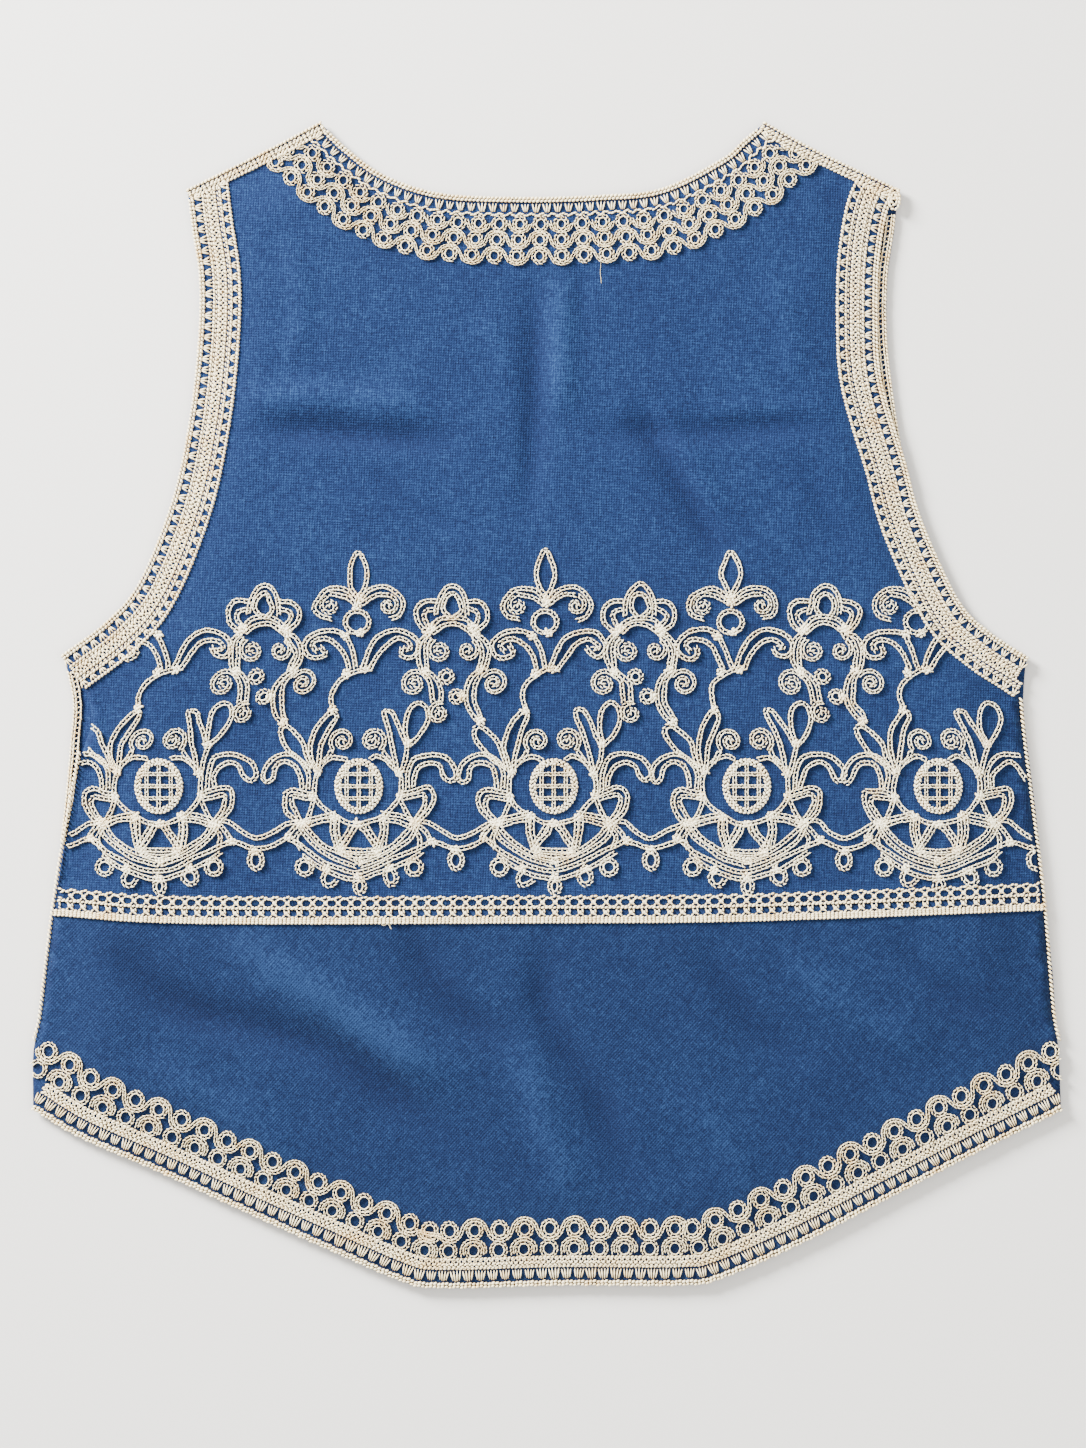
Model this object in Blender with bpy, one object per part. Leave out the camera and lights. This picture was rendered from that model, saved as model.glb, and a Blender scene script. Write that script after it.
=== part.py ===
"""A sleeveless folk vest in blue linen with cream braid lace, laid flat on its fronts, back up.

The wearer's left is at -X, the neck at +Y, and the fronts' undersides are at z = 0.
Each cloth panel is a wall under its outline, lifted by a little loft and by the main folds.
Each piece of lace is a flat union of ribbons and discs, laid on the panel below it.
"""
import math

import bpy
import numpy as np
from mathutils import Vector
from mathutils.bvhtree import BVHTree
from mathutils.geometry import delaunay_2d_cdt

for old_object in list(bpy.data.objects):
    bpy.data.objects.remove(old_object, do_unlink=True)

# Driving sizes in millimetres
MM = 0.001
CLOTH = 1.2             # cloth wall
LACE = 1.4              # lace wall
GAP = 0.3               # between neighbouring pieces
CORD = 2.6              # twisted side cord, across
CORD_OUT = CORD / 2 + GAP       # from a side edge to the cord's middle
BRAID = 3.0             # one run of lacet braid
DOUBLE = 5.8            # two runs side by side
KNOT = 2.6              # radius of the blob where runs meet
FRIEZE_CLEAR = 0.8      # between motifs, and to the bands round them
ARMHOLE_BAND = 19.7
WAIST_BAND = 13.5
SHOULDER_TAPE = 5.8
TAPE_CURL = (166.2, 241.9)      # middle of the right tape's rolled end
TAPE_CURL_SIZE = (2.5, 5.0)     # its half width and half length
TAPE_CURL_TURN = -0.25
TAPE_MARGIN = 12.0      # how far past its ends and edge a tape is kept clear
FRONT_INSET = 0.6       # the fronts lie this far inside the lace's outer edge
FRONT_OPENING = 7.5     # from the middle to each front's edge
SMALLEST_HOLE = 10.0    # square millimetres: a smaller gap in lace is left uncut
NARROWEST_HOLE = 2.8    # four times area over edge length
EDGE_SLACK = 0.5        # how far a lace edge may be straightened
LONGEST_EDGE = 15.0     # so that a straight lace edge still follows the cloth's height

# Edges of the laid-out vest: x, y
NECK = [(-109.2, 278.6), (-95.8, 265.7), (-78.0, 253.2), (-51.6, 244.6), (-13.2, 242.6),
        (25.2, 243.6), (54.5, 246.8), (83.3, 260.9), (94.3, 270.3), (104.4, 278.6)]
SHOULDER_LEFT = [(-109.2, 278.6), (-133.7, 265.7), (-172.6, 246.5)]
SHOULDER_RIGHT = [(104.4, 278.6), (127.9, 265.7), (168.2, 246.5)]
ARMHOLE_LEFT = [(-172.6, 246.5), (-170.2, 227.3), (-166.8, 203.3), (-167.3, 174.5), (-171.6, 136.1),
                (-179.8, 97.7), (-195.1, 59.3), (-210.5, 40.1), (-232.6, 23.3)]
ARMHOLE_RIGHT = [(168.2, 246.5), (162.5, 234.5), (158.7, 210.0), (158.2, 180.0), (159.3, 160.0),
                 (163.4, 142.0), (171.2, 117.0), (179.3, 88.1), (197.0, 49.7), (211.7, 34.5),
                 (230.2, 22.3)]
FRONT_ARMHOLE_RIGHT = [(168.2, 246.5), (166.3, 227.3), (163.0, 203.3), (163.0, 174.5), (166.3, 145.7),
                       (171.2, 117.0), (179.3, 88.1), (197.0, 49.7), (211.7, 34.5), (230.2, 22.3)]
BODICE_SIDE_LEFT = [(-232.6, 23.3), (-221.0, 4.6), (-218.6, -9.4), (-223.2, -24.0), (-227.6, -47.3),
                    (-231.6, -70.0), (-235.6, -95.0)]
BODICE_SIDE_RIGHT = [(230.2, 22.3), (225.8, 1.7), (227.6, -17.5), (232.4, -55.9), (236.8, -92.4)]
SKIRT_SIDE_LEFT = [(-235.7, -95.4), (-239.4, -125.0), (-242.3, -150.0), (-246.4, -166.0), (-246.6, -194.5)]
SKIRT_SIDE_RIGHT = [(236.9, -92.8), (240.2, -132.7), (241.8, -150.0), (244.8, -164.0), (246.2, -195.1)]
FRONT_SIDE_LEFT = [(-232.6, 23.3), (-227.9, 1.7), (-228.9, -17.5), (-231.9, -50.0), (-237.4, -94.3),
                   (-242.6, -132.7), (-245.6, -160.0), (-246.6, -194.5)]
FRONT_SIDE_RIGHT = [(230.2, 22.3), (228.8, 1.7), (230.6, -17.5), (235.4, -55.9), (240.0, -103.0),
                    (243.1, -132.7), (244.8, -164.0), (246.2, -195.1)]
WAIST = [(-235.6, -95.2), (-166.8, -98.9), (1.2, -98.6), (97.0, -97.7), (236.8, -92.6)]
HEM = [(-246.6, -194.5), (-224.4, -207.8), (-186.0, -224.6), (-147.6, -242.4), (-109.2, -259.8),
       (-70.8, -276.5), (-51.6, -280.1), (6.0, -278.8), (63.6, -278.8), (82.8, -275.8),
       (121.2, -259.0), (159.6, -239.2), (198.0, -219.1), (246.2, -195.1)]
FRONT_NECK_LEFT = [(-109.2, 278.0), (-91.0, 236.0), (-60.0, 160.0), (-25.0, 88.0), (-7.0, 62.0)]
FRONT_NECK_RIGHT = [(104.4, 278.0), (88.0, 236.0), (60.0, 160.0), (25.0, 88.0), (6.0, 62.0)]

# Front lace that shows beyond the back's edge, between two levels of y
PEEP_SPOTS = 9
PEEP_RIGHT = (234.0, 126.0)
PEEP_LEFT = (4.0, -66.0)
PEEP_GAP = 0.42         # from the back's edge

# Side cord: the left one lies on the peeping lace at first, and comes down between these shares
CORD_DROP = (0.42, 0.5)

# Folds of the back: path, height above the loft (a valley is below), half width
LOFT = 1.8              # how far the cloth lies above the fronts, away from its edges
LOFT_RUN = 34.0         # how far in from an edge the loft is reached
FOLDS = [
    ([(-222, -104), (-176, -144), (-104, -167), (-34, -220)], -1.8, 10.0),
    ([(-157, -108), (-114, -138), (-71, -166), (-34, -184)], 2.2, 11.0),
    ([(-73, -104), (-47, -142), (-17, -166)], -1.3, 9.0),
    ([(-4, -106), (0, -150), (22, -186), (42, -236)], -1.2, 8.0),
    ([(-14, -160), (2, -206), (20, -244)], 1.0, 9.0),
    ([(-150, 146), (-100, 146), (-52, 140)], 1.0, 7.0),
    ([(-146, 133), (-90, 129), (-40, 125)], -1.5, 6.0),
    ([(12, 129), (80, 131), (146, 135)], -0.9, 6.0),
    ([(-7, 206), (-6, 150), (-9, 84)], -1.3, 6.0),
    ([(7, 206), (7, 136)], 1.3, 6.0),
    ([(40, 146), (68, 98), (86, 62)], -1.4, 6.0),
    ([(52, 144), (84, 90)], 0.9, 6.0),
    ([(133, 250), (146, 228)], -0.9, 6.0),
]

# One repeat of the frieze, from the blossom's centre, u to the right and v up
# Middles of the repeats, with one beyond each side
LOWER_X = [-281.4, -186.1, -90.3, 3.0, 95.4, 187.1, 280.0]      # blossoms
UPPER_X = [-266.9, -177.0, -87.1, 2.8, 91.6, 181.0, 270.0]      # fleurs, drawn closer together
REPEATS = 5
FRIEZE_Y = -39.6
LOWER_ROW = 20.0                # v below which the blossoms' places hold
UPPER_ROW = 60.0                # v above which the fleurs' places hold

# Medallion: width, run of braid
MEDALLION_RUNS = [
    # Wreath
    (BRAID, [(-5.4, 12.8), (-13.2, 13.4), (-20.2, 5.6), (-20.8, -5.0), (-11.0, -14.2), (0.0, -18.2),
             (11.4, -14.6), (19.6, -5.0), (19.4, 5.6), (11.6, 13.2), (5.2, 12.8)]),
    # Leaves
    (BRAID, [(-20.6, 7.4), (-23.4, 19.0), (-17.6, 33.0), (-13.8, 36.0), (-12.0, 33.4), (-17.8, 19.6),
             (-19.4, 7.4)]),
    (BRAID, [(-22.0, 8.6), (-27.0, 20.6), (-35.4, 29.0), (-38.2, 27.2), (-33.8, 17.4), (-21.6, 8.0)]),
    (BRAID, [(18.6, 6.6), (14.2, 24.8), (10.8, 36.0), (14.0, 35.6), (20.4, 25.0), (22.4, 20.6)]),
    (BRAID, [(20.4, 6.0), (22.0, 12.8), (23.4, 20.0)]),
    (BRAID, [(23.4, 20.4), (21.4, 27.6), (22.6, 35.6), (26.4, 39.8), (31.8, 32.0), (24.6, 20.4)]),
    # Hooks
    (DOUBLE, [(-23.6, -0.9), (-26.0, 5.3), (-29.2, 11.0), (-34.4, 13.5), (-39.6, 11.4), (-43.2, 5.0)]),
    (DOUBLE, [(22.6, -0.5), (25.2, 5.3), (28.0, 10.8), (33.6, 13.1), (39.4, 11.0), (43.2, 5.4)]),
    # Handles and braces
    (DOUBLE, [(-21.7, -5.1), (-26.5, -4.2), (-31.4, -3.5), (-34.2, -7.4), (-32.6, -11.8), (-28.2, -17.2)]),
    (DOUBLE, [(20.8, -4.9), (25.8, -3.5), (30.8, -2.4), (33.8, -6.4), (32.2, -11.5), (27.3, -17.2)]),
    (BRAID, [(-21.2, -6.0), (-25.4, -16.6)]),
    (BRAID, [(19.8, -6.0), (25.6, -16.6)]),
    (DOUBLE, [(-25.3, -17.6), (-12.0, -14.6)]),
    (DOUBLE, [(25.3, -17.6), (12.0, -14.8)]),
    # Basket: its side, ribs and foot
    (DOUBLE, [(-27.2, -19.0), (-23.8, -24.3), (-18.1, -29.2), (-11.3, -33.2), (0.0, -36.3), (10.3, -32.8),
              (17.4, -28.8), (23.4, -24.1), (27.0, -19.1)]),
    (DOUBLE, [(-11.3, -15.4), (-9.4, -29.1)]),
    (DOUBLE, [(11.6, -15.6), (10.5, -28.8)]),
    (DOUBLE, [(-2.0, -18.9), (-9.0, -29.5)]),
    (DOUBLE, [(1.8, -18.9), (9.6, -29.5)]),
    (DOUBLE, [(-9.0, -31.4), (9.0, -31.4)]),
    # Rims and corners below it
    (BRAID, [(-33.4, -24.8), (-24.0, -31.6), (-9.0, -39.4), (-1.4, -40.8), (7.4, -39.0), (24.4, -31.2),
             (34.6, -26.4)]),
    (BRAID, [(-27.0, -33.0), (-11.4, -42.0), (1.5, -44.4), (16.0, -39.2), (29.0, -32.0)]),
    (BRAID, [(-28.4, -17.6), (-33.8, -25.4)]),
    (BRAID, [(27.8, -17.4), (34.8, -26.2)]),
]
# Medallion: centre u, centre v, half width, half height
MEDALLION_DISCS = [
    (0.0, 0.0, 12.1, 13.8),
    (-7.9, 21.2, 6.1, 7.4), (6.4, 21.4, 6.1, 7.6),
    (-26.0, -38.4, 4.8, 4.8), (-14.2, -43.8, 4.4, 4.6), (0.4, -47.6, 3.6, 4.8),
    (14.8, -43.4, 4.4, 4.6), (26.4, -38.4, 4.8, 4.8),
]

# Swag to the next medallion
SWAG_RUNS = [
    (BRAID, [(28.6, -16.4), (33.9, -17.0), (39.9, -22.0), (46.9, -25.0), (54.3, -22.3), (60.9, -18.4),
             (66.0, -17.2)]),
    (BRAID, [(35.0, -26.4), (45.9, -29.7), (53.1, -28.9), (59.9, -25.6)]),
]
SWAG_DISCS = [(46.6, -27.4, 2.6, 3.4), (46.5, -35.2, 4.3, 5.4)]

# Crown between two repeats, u from its own middle
CROWN_OFFSET = 41.3     # from the medallion on its left to the crown's middle
CROWN_RUNS = [
    # Arch and bud
    (BRAID, [(-7.6, 80.4), (-5.4, 91.4), (0.9, 96.0), (6.9, 88.2), (7.2, 80.4)]),
    (BRAID, [(-1.4, 80.2), (-4.1, 85.0), (-3.1, 90.0), (0.3, 92.2), (3.5, 89.4), (4.1, 84.8), (1.7, 80.2)]),
    # Side loops and foot
    (DOUBLE, [(-7.9, 86.8), (-12.8, 86.0), (-14.8, 82.6), (-13.8, 78.0), (-11.4, 73.8)]),
    (DOUBLE, [(7.7, 86.8), (12.4, 86.0), (14.4, 82.6), (13.6, 78.0), (10.8, 73.8)]),
    (DOUBLE, [(-9.9, 74.4), (-4.9, 78.3), (1.5, 79.2), (7.0, 77.3), (10.2, 74.0)]),
    # Legs and scrolls
    (DOUBLE, [(-11.0, 72.0), (-14.3, 64.7), (-12.6, 55.4), (-6.9, 47.7), (-4.6, 37.0)]),
    (DOUBLE, [(10.7, 72.2), (16.0, 65.0), (14.7, 55.4), (10.0, 46.2), (10.6, 40.1), (15.9, 31.1)]),
    (BRAID, [(14.6, 54.7), (20.0, 53.6)]),
]
CROWN_DISCS = [
    (-5.8, 65.6, 6.3, 6.2), (7.2, 65.6, 6.5, 6.2),
    (-17.3, 49.3, 5.9, 5.9), (21.1, 49.5, 5.9, 5.9),
    (3.7, 42.9, 4.0, 4.0), (-2.9, 52.1, 4.1, 4.1), (-4.1, 34.9, 6.0, 6.0),
]

# Fleur above a medallion: its stem with double scrolls, then its flower
STEM_RUNS = [
    (BRAID, [(-13.8, 37.0), (-15.0, 43.5), (-12.9, 49.1), (-7.4, 53.3), (1.6, 56.1)]),
    (DOUBLE, [(-6.0, 56.4), (-8.4, 63.0), (-12.6, 70.0), (-17.6, 72.3), (-23.0, 71.6), (-26.8, 67.0)]),
    (DOUBLE, [(0.2, 56.4), (3.7, 63.4), (8.2, 69.6), (14.1, 72.4), (20.0, 71.4), (23.2, 67.0)]),
]
STEM_DISCS = [(-23.2, 65.2, 5.0, 4.4), (19.8, 65.6, 4.8, 4.2)]
FLOWER_RUNS = [
    # Ring and the ties above and below it
    (BRAID, [(-4.0, 73.4), (1.0, 75.8), (1.6, 79.4), (-1.0, 83.2), (-4.0, 83.8), (-8.0, 82.4), (-9.6, 78.6),
             (-8.0, 74.6), (-4.0, 73.4)]),
    (BRAID, [(-10.0, 69.0), (-8.6, 75.2)]),
    (BRAID, [(-4.0, 83.8), (-3.6, 90.0)]),
    # Leaf and curls
    (BRAID, [(-3.8, 90.6), (-6.8, 95.6), (-8.0, 101.4), (-3.6, 110.6), (0.8, 101.4), (-0.4, 95.6),
             (-3.2, 90.6)]),
    (DOUBLE, [(-4.8, 88.2), (-12.4, 92.6), (-17.4, 91.4)]),
    (DOUBLE, [(-2.0, 88.4), (6.1, 92.9), (11.0, 91.8)]),
]
FLOWER_DISCS = [(-18.0, 87.2, 7.4, 7.0), (11.6, 87.4, 7.4, 7.0)]

# Rows of rings in the edge laces, measured in from the edge
NECK_ROWS = (13.0, 20.6, 28.6)
NECK_RINGS = 27
NECK_RING_RADIUS = 5.2
HEM_ROWS = (18.2, 29.0)
HEM_PITCH = 12.3
HEM_RING_RADIUS = 5.9
DIAMOND_WIDE = 5.8
DIAMOND_HIGH = 4.4

# Mesh sizes
EDGE_STEP = 9.0         # along a cloth edge
RUN_STEP = 8.0          # along a run of braid
PANEL_GRID = 19.0       # between the points inside a panel
FLAT_GRID = 44.0        # between them where the cloth is level
BAND_GRID = 21.0        # between the points inside a lace band
DISC_SIDES = 12
RING_SIDES = 7
KNOT_SIDES = 6
CDT_MERGE = 1e-5


# Flat curves and shapes

def smooth_curve(points, step):
    """Points about `step` apart on a smooth curve through the given ones."""
    knots = [Vector(p) for p in points]
    padded = [2 * knots[0] - knots[1]] + knots + [2 * knots[-1] - knots[-2]]
    curve = [knots[0]]
    for before, start, end, after in zip(padded, padded[1:], padded[2:], padded[3:]):
        pieces = max(1, round((end - start).length / step))
        for piece in range(1, pieces + 1):
            t = piece / pieces
            curve.append(0.5 * (2 * start + (end - before) * t
                                + (2 * before - 5 * start + 4 * end - after) * t ** 2
                                + (3 * start - before - 3 * end + after) * t ** 3))
    return curve


def lengthened(curve, extra):
    """The curve with a straight run added at both ends."""
    head = curve[0] + (curve[0] - curve[1]).normalized() * extra
    tail = curve[-1] + (curve[-1] - curve[-2]).normalized() * extra
    return [head] + curve + [tail]


def beside(curve, distance):
    """The curve moved to its left by a distance."""
    moved = []
    for index, point in enumerate(curve):
        ahead = curve[min(index + 1, len(curve) - 1)]
        behind = curve[max(index - 1, 0)]
        along = (ahead - behind).normalized()
        moved.append(point + Vector((-along.y, along.x)) * distance)
    return moved


def arc_lengths(curve):
    """The distance of each point from the curve's start."""
    steps = [(b - a).length for a, b in zip(curve, curve[1:])]
    return np.concatenate([[0.0], np.cumsum(steps)])


def spots_along(curve, count, inset=0.0):
    """Evenly spaced places on a curve, each a point and the direction there."""
    lengths = arc_lengths(curve)
    places = []
    for target in np.linspace(inset, lengths[-1] - inset, count):
        index = min(int(np.searchsorted(lengths, target, side="right")) - 1, len(curve) - 2)
        share = (target - lengths[index]) / (lengths[index + 1] - lengths[index])
        along = (curve[index + 1] - curve[index]).normalized()
        places.append((curve[index].lerp(curve[index + 1], share), along))
    return places


def signed_area(polygon):
    corners = [tuple(p) for p in polygon]
    return 0.5 * sum(a[0] * b[1] - b[0] * a[1] for a, b in zip(corners, corners[1:] + corners[:1]))


def facing_up(polygon):
    """The polygon with its inside on the left of its edges."""
    return list(polygon) if signed_area(polygon) > 0 else list(polygon)[::-1]


def convex(points):
    """The convex outline of a few points."""
    ordered = sorted(tuple(p) for p in points)

    def half(sequence):
        chain = []
        for point in sequence:
            while len(chain) > 1:
                (ax, ay), (bx, by) = chain[-2], chain[-1]
                if (bx - ax) * (point[1] - ay) - (by - ay) * (point[0] - ax) > 0:
                    break
                chain.pop()
            chain.append(point)
        return chain[:-1]

    return half(ordered) + half(ordered[::-1])


def ribbon(curve, width):
    """A run of braid as one convex patch for each step of its curve."""
    left = beside(curve, width / 2)
    right = beside(curve, -width / 2)
    return [convex([left[i], left[i + 1], right[i + 1], right[i]]) for i in range(len(curve) - 1)]


def band(curve, near, far):
    """The strip between two distances to the left of a curve, in patches."""
    inner = beside(curve, near)
    outer = beside(curve, far)
    return [convex([inner[i], inner[i + 1], outer[i + 1], outer[i]]) for i in range(len(curve) - 1)]


def disc(centre, half_width, half_height, sides=DISC_SIDES, turn=0.0):
    """An oval, turned by an angle about its centre."""
    rim = []
    for index in range(sides):
        angle = 2 * math.pi * index / sides
        u = half_width * math.cos(angle)
        v = half_height * math.sin(angle)
        rim.append((centre[0] + u * math.cos(turn) - v * math.sin(turn),
                    centre[1] + u * math.sin(turn) + v * math.cos(turn)))
    return rim


def joined_loops(shapes, cutters=(), within=()):
    """Edge loops of the shapes' union, less the cutters, inside one outline: outer loop, holes."""
    points, faces, kinds = [], [], []
    for kind, polygons in (("keep", shapes), ("cut", cutters), ("frame", within)):
        for polygon in polygons:
            faces.append(list(range(len(points), len(points) + len(polygon))))
            points.extend(Vector((p[0], p[1])) for p in facing_up(polygon))
            kinds.append(kind)
    spots, _, triangles, _, _, owners = delaunay_2d_cdt(points, [], faces, 0, CDT_MERGE)
    kept = []
    for triangle, owner in zip(triangles, owners):
        over = {kinds[index] for index in owner}
        if "keep" in over and "cut" not in over and ("frame" in over or not within):
            kept.append(tuple(triangle))
    kept = largest_region(spots, kept)
    loops = boundary_loops(spots, kept)
    loops.sort(key=signed_area)
    outer = straightened(loops[-1])
    holes = [straightened(loop) for loop in loops[:-1] if worth_cutting(loop)]
    return outer, holes


def largest_region(spots, triangles):
    """The triangles of the largest region that hangs together by its edges."""
    by_edge = {}
    for index, triangle in enumerate(triangles):
        for a, b in zip(triangle, triangle[1:] + triangle[:1]):
            by_edge.setdefault(frozenset((a, b)), []).append(index)
    region = [-1] * len(triangles)
    areas = []
    for seed in range(len(triangles)):
        if region[seed] >= 0:
            continue
        region[seed] = len(areas)
        queue, area = [seed], 0.0
        while queue:
            current = queue.pop()
            triangle = triangles[current]
            area += abs(signed_area([spots[v] for v in triangle]))
            for a, b in zip(triangle, triangle[1:] + triangle[:1]):
                for neighbour in by_edge[frozenset((a, b))]:
                    if region[neighbour] < 0:
                        region[neighbour] = len(areas)
                        queue.append(neighbour)
        areas.append(area)
    best = int(np.argmax(areas))
    return [triangle for index, triangle in enumerate(triangles) if region[index] == best]


def boundary_loops(spots, triangles):
    """Closed loops of points round the triangles, inside on the left."""
    edges = set()
    for triangle in triangles:
        corners = triangle
        if signed_area([spots[v] for v in triangle]) < 0:
            corners = triangle[::-1]
        edges.update(zip(corners, corners[1:] + corners[:1]))
    onward = {}
    for a, b in edges:
        if (b, a) not in edges:
            onward.setdefault(a, []).append(b)
    loops = []
    while onward:
        start = next(iter(onward))
        loop = [start]
        while True:
            here = loop[-1]
            choices = onward[here]
            step = choices[0]
            if len(choices) > 1 and len(loop) > 1:
                arrival = spots[here] - spots[loop[-2]]
                step = max(choices, key=lambda c: arrival.angle_signed(spots[c] - spots[here]))
            choices.remove(step)
            if not choices:
                del onward[here]
            if step == start:
                break
            loop.append(step)
        loops.append([spots[v] for v in loop])
    return loops


def worth_cutting(loop):
    """Whether a hole in lace is over about 4 mm, so that it is cut through."""
    area = abs(signed_area(loop))
    edge = sum((b - a).length for a, b in zip(loop, loop[1:] + loop[:1]))
    return area > SMALLEST_HOLE and 4 * area / edge > NARROWEST_HOLE


def straightened(loop):
    """The loop without the points that its shape doesn't need."""
    points = [Vector(p) for p in loop]
    while len(points) > 4:
        offsets = []
        for before, point, after in zip(points[-1:] + points[:-1], points, points[1:] + points[:1]):
            chord = after - before
            length = max(chord.length, 1e-9)
            bend = abs(chord.x * (point.y - before.y) - chord.y * (point.x - before.x)) / length
            offsets.append(bend if length < LONGEST_EDGE else math.inf)
        flattest = int(np.argmin(offsets))
        if offsets[flattest] > EDGE_SLACK:
            break
        del points[flattest]
    return points


def triangulated(outer, holes=(), extra_points=()):
    """Flat points and triangles that fill an outer loop, less its holes."""
    points, faces = [], []
    for loop in [outer, *holes]:
        faces.append(list(range(len(points), len(points) + len(loop))))
        points.extend(Vector((p[0], p[1])) for p in facing_up(loop))
    points.extend(Vector((p[0], p[1])) for p in extra_points)
    spots, _, triangles, _, _, owners = delaunay_2d_cdt(points, [], faces, 0, CDT_MERGE)
    kept = [tuple(t) for t, owner in zip(triangles, owners) if set(owner) == {0}]
    used = sorted({v for triangle in kept for v in triangle})
    place = {v: index for index, v in enumerate(used)}
    return [spots[v] for v in used], [tuple(place[v] for v in triangle) for triangle in kept]


def distance_to_path(xy, path):
    """How far each point is from a path, and how far along the path its nearest place is."""
    best = np.full(len(xy), np.inf)
    along = np.zeros(len(xy))
    lengths = arc_lengths(path)
    for index, (a, b) in enumerate(zip(path, path[1:])):
        start, run = np.array(a), np.array(b) - np.array(a)
        share = np.clip(((xy - start) @ run) / max(run @ run, 1e-9), 0.0, 1.0)
        away = np.linalg.norm(xy - start - share[:, None] * run, axis=1)
        nearer = away < best
        best[nearer] = away[nearer]
        along[nearer] = ((lengths[index] + share * np.linalg.norm(run)) / lengths[-1])[nearer]
    return best, along


def grid_inside(outline, spacing, clearance, avoid=()):
    """Points of a staggered grid inside an outline, clear of its edge and of other points."""
    corners = np.array([tuple(p) for p in outline])
    low, high = corners.min(axis=0), corners.max(axis=0)
    rows = []
    for row, y in enumerate(np.arange(low[1], high[1], spacing * 0.9)):
        shift = spacing / 2 if row % 2 else 0.0
        rows.extend((x, y) for x in np.arange(low[0] + shift, high[0], spacing))
    xy = np.array(rows)
    closed = [Vector(p) for p in outline] + [Vector(outline[0])]
    away, _ = distance_to_path(xy, closed)
    inside = np.array([point_inside(p, corners) for p in xy]) & (away > clearance)
    if len(avoid):
        others = np.array([tuple(p) for p in avoid])
        nearest = np.min(np.linalg.norm(xy[:, None] - others[None], axis=2), axis=1)
        inside &= nearest > clearance
    return xy[inside]


def point_inside(point, corners):
    """Whether a point is inside a closed outline."""
    x, y = point
    ax, ay = corners[:, 0], corners[:, 1]
    bx, by = np.roll(ax, -1), np.roll(ay, -1)
    spans = (ay > y) != (by > y)
    rise = np.where(by == ay, 1e-9, by - ay)
    return bool(np.count_nonzero(spans & (x < (bx - ax) * (y - ay) / rise + ax)) % 2)


# Solids

def material(name, colour, roughness):
    """A plain surface: linear colour and roughness."""
    made = bpy.data.materials.new(name)
    made.use_nodes = True
    shader = made.node_tree.nodes["Principled BSDF"]
    shader.inputs["Base Color"].default_value = (*colour, 1.0)
    shader.inputs["Roughness"].default_value = roughness
    shader.inputs["Metallic"].default_value = 0.0
    return made


def wall(name, surface, spots, triangles, under, thickness):
    """A closed wall over flat triangles, from its underside heights up by its thickness."""
    mesh = bpy.data.meshes.new(name)
    count = len(spots)
    low = [(p[0] * MM, p[1] * MM, z * MM) for p, z in zip(spots, under)]
    high = [(p[0] * MM, p[1] * MM, (z + thickness) * MM) for p, z in zip(spots, under)]
    faces, edges = [], set()
    for triangle in triangles:
        corners = triangle
        if signed_area([spots[v] for v in triangle]) < 0:
            corners = triangle[::-1]
        faces.append(tuple(v + count for v in corners))
        faces.append(corners[::-1])
        edges.update(zip(corners, corners[1:] + corners[:1]))
    for a, b in edges:
        if (b, a) not in edges:
            faces.append((a, b, b + count))
            faces.append((a, b + count, a + count))
    mesh.from_pydata(low + high, [], faces)
    mesh.materials.append(surface)
    made = bpy.data.objects.new(name, mesh)
    bpy.context.collection.objects.link(made)
    return made


def fold_points():
    """Mesh points along the middle and both feet of each fold."""
    points = []
    for path, _, half_width in FOLDS:
        middle = smooth_curve(path, PANEL_GRID)
        for side in (-1.1, 0.0, 1.1):
            points.extend(beside(middle, side * half_width))
    return points


def cloth_lift(xy, rim):
    """Height of the cloth's underside over the fronts: loft in from the rim, plus the folds."""
    away, _ = distance_to_path(xy, rim)
    share = np.clip(away / LOFT_RUN, 0.0, 1.0)
    fade = share * share * (3 - 2 * share)
    height = LOFT * fade
    for path, fold_height, half_width in FOLDS:
        near, along = distance_to_path(xy, smooth_curve(path, PANEL_GRID / 2))
        taper = np.clip(np.minimum(along, 1 - along) * 4, 0.0, 1.0)
        height += fold_height * taper * fade * np.exp(-(near / half_width) ** 2)
    return np.maximum(height, 0.0)


def back_panel(name, surface, outline, rim):
    """One back panel: its outline filled with grid and fold points, lifted by the loft and folds."""
    corners = np.array([tuple(p) for p in outline])
    closed = [Vector(p) for p in outline] + [Vector(outline[0])]
    ridges = np.array([tuple(p) for p in fold_points()])
    away, _ = distance_to_path(ridges, closed)
    ridges = ridges[np.array([point_inside(p, corners) for p in ridges]) & (away > PANEL_GRID / 3)]
    ridges = thinned(ridges, PANEL_GRID / 3)
    grid = grid_inside(outline, PANEL_GRID, PANEL_GRID * 0.55, ridges)
    grid = grid[needs_point(grid, rim)]
    grid = np.concatenate([grid, grid_inside(outline, FLAT_GRID, PANEL_GRID * 0.7, [*ridges, *grid])])
    spots, triangles = triangulated(outline, extra_points=[*ridges, *grid])
    under = CLOTH + GAP + cloth_lift(np.array([tuple(p) for p in spots]), rim)
    return wall(name, surface, spots, triangles, under, CLOTH)


def needs_point(xy, rim):
    """Which points lie on the rising rim or near a fold, where the cloth isn't level."""
    away, _ = distance_to_path(xy, rim)
    needed = away < LOFT_RUN + PANEL_GRID / 2
    for path, _, half_width in FOLDS:
        near, _ = distance_to_path(xy, smooth_curve(path, PANEL_GRID))
        needed |= near < 2.6 * half_width
    return needed


def thinned(points, spacing):
    """The points without those too near an earlier one."""
    kept = []
    for point in points:
        if all(math.dist(point, other) > spacing for other in kept):
            kept.append(tuple(point))
    return np.array(kept)


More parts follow.
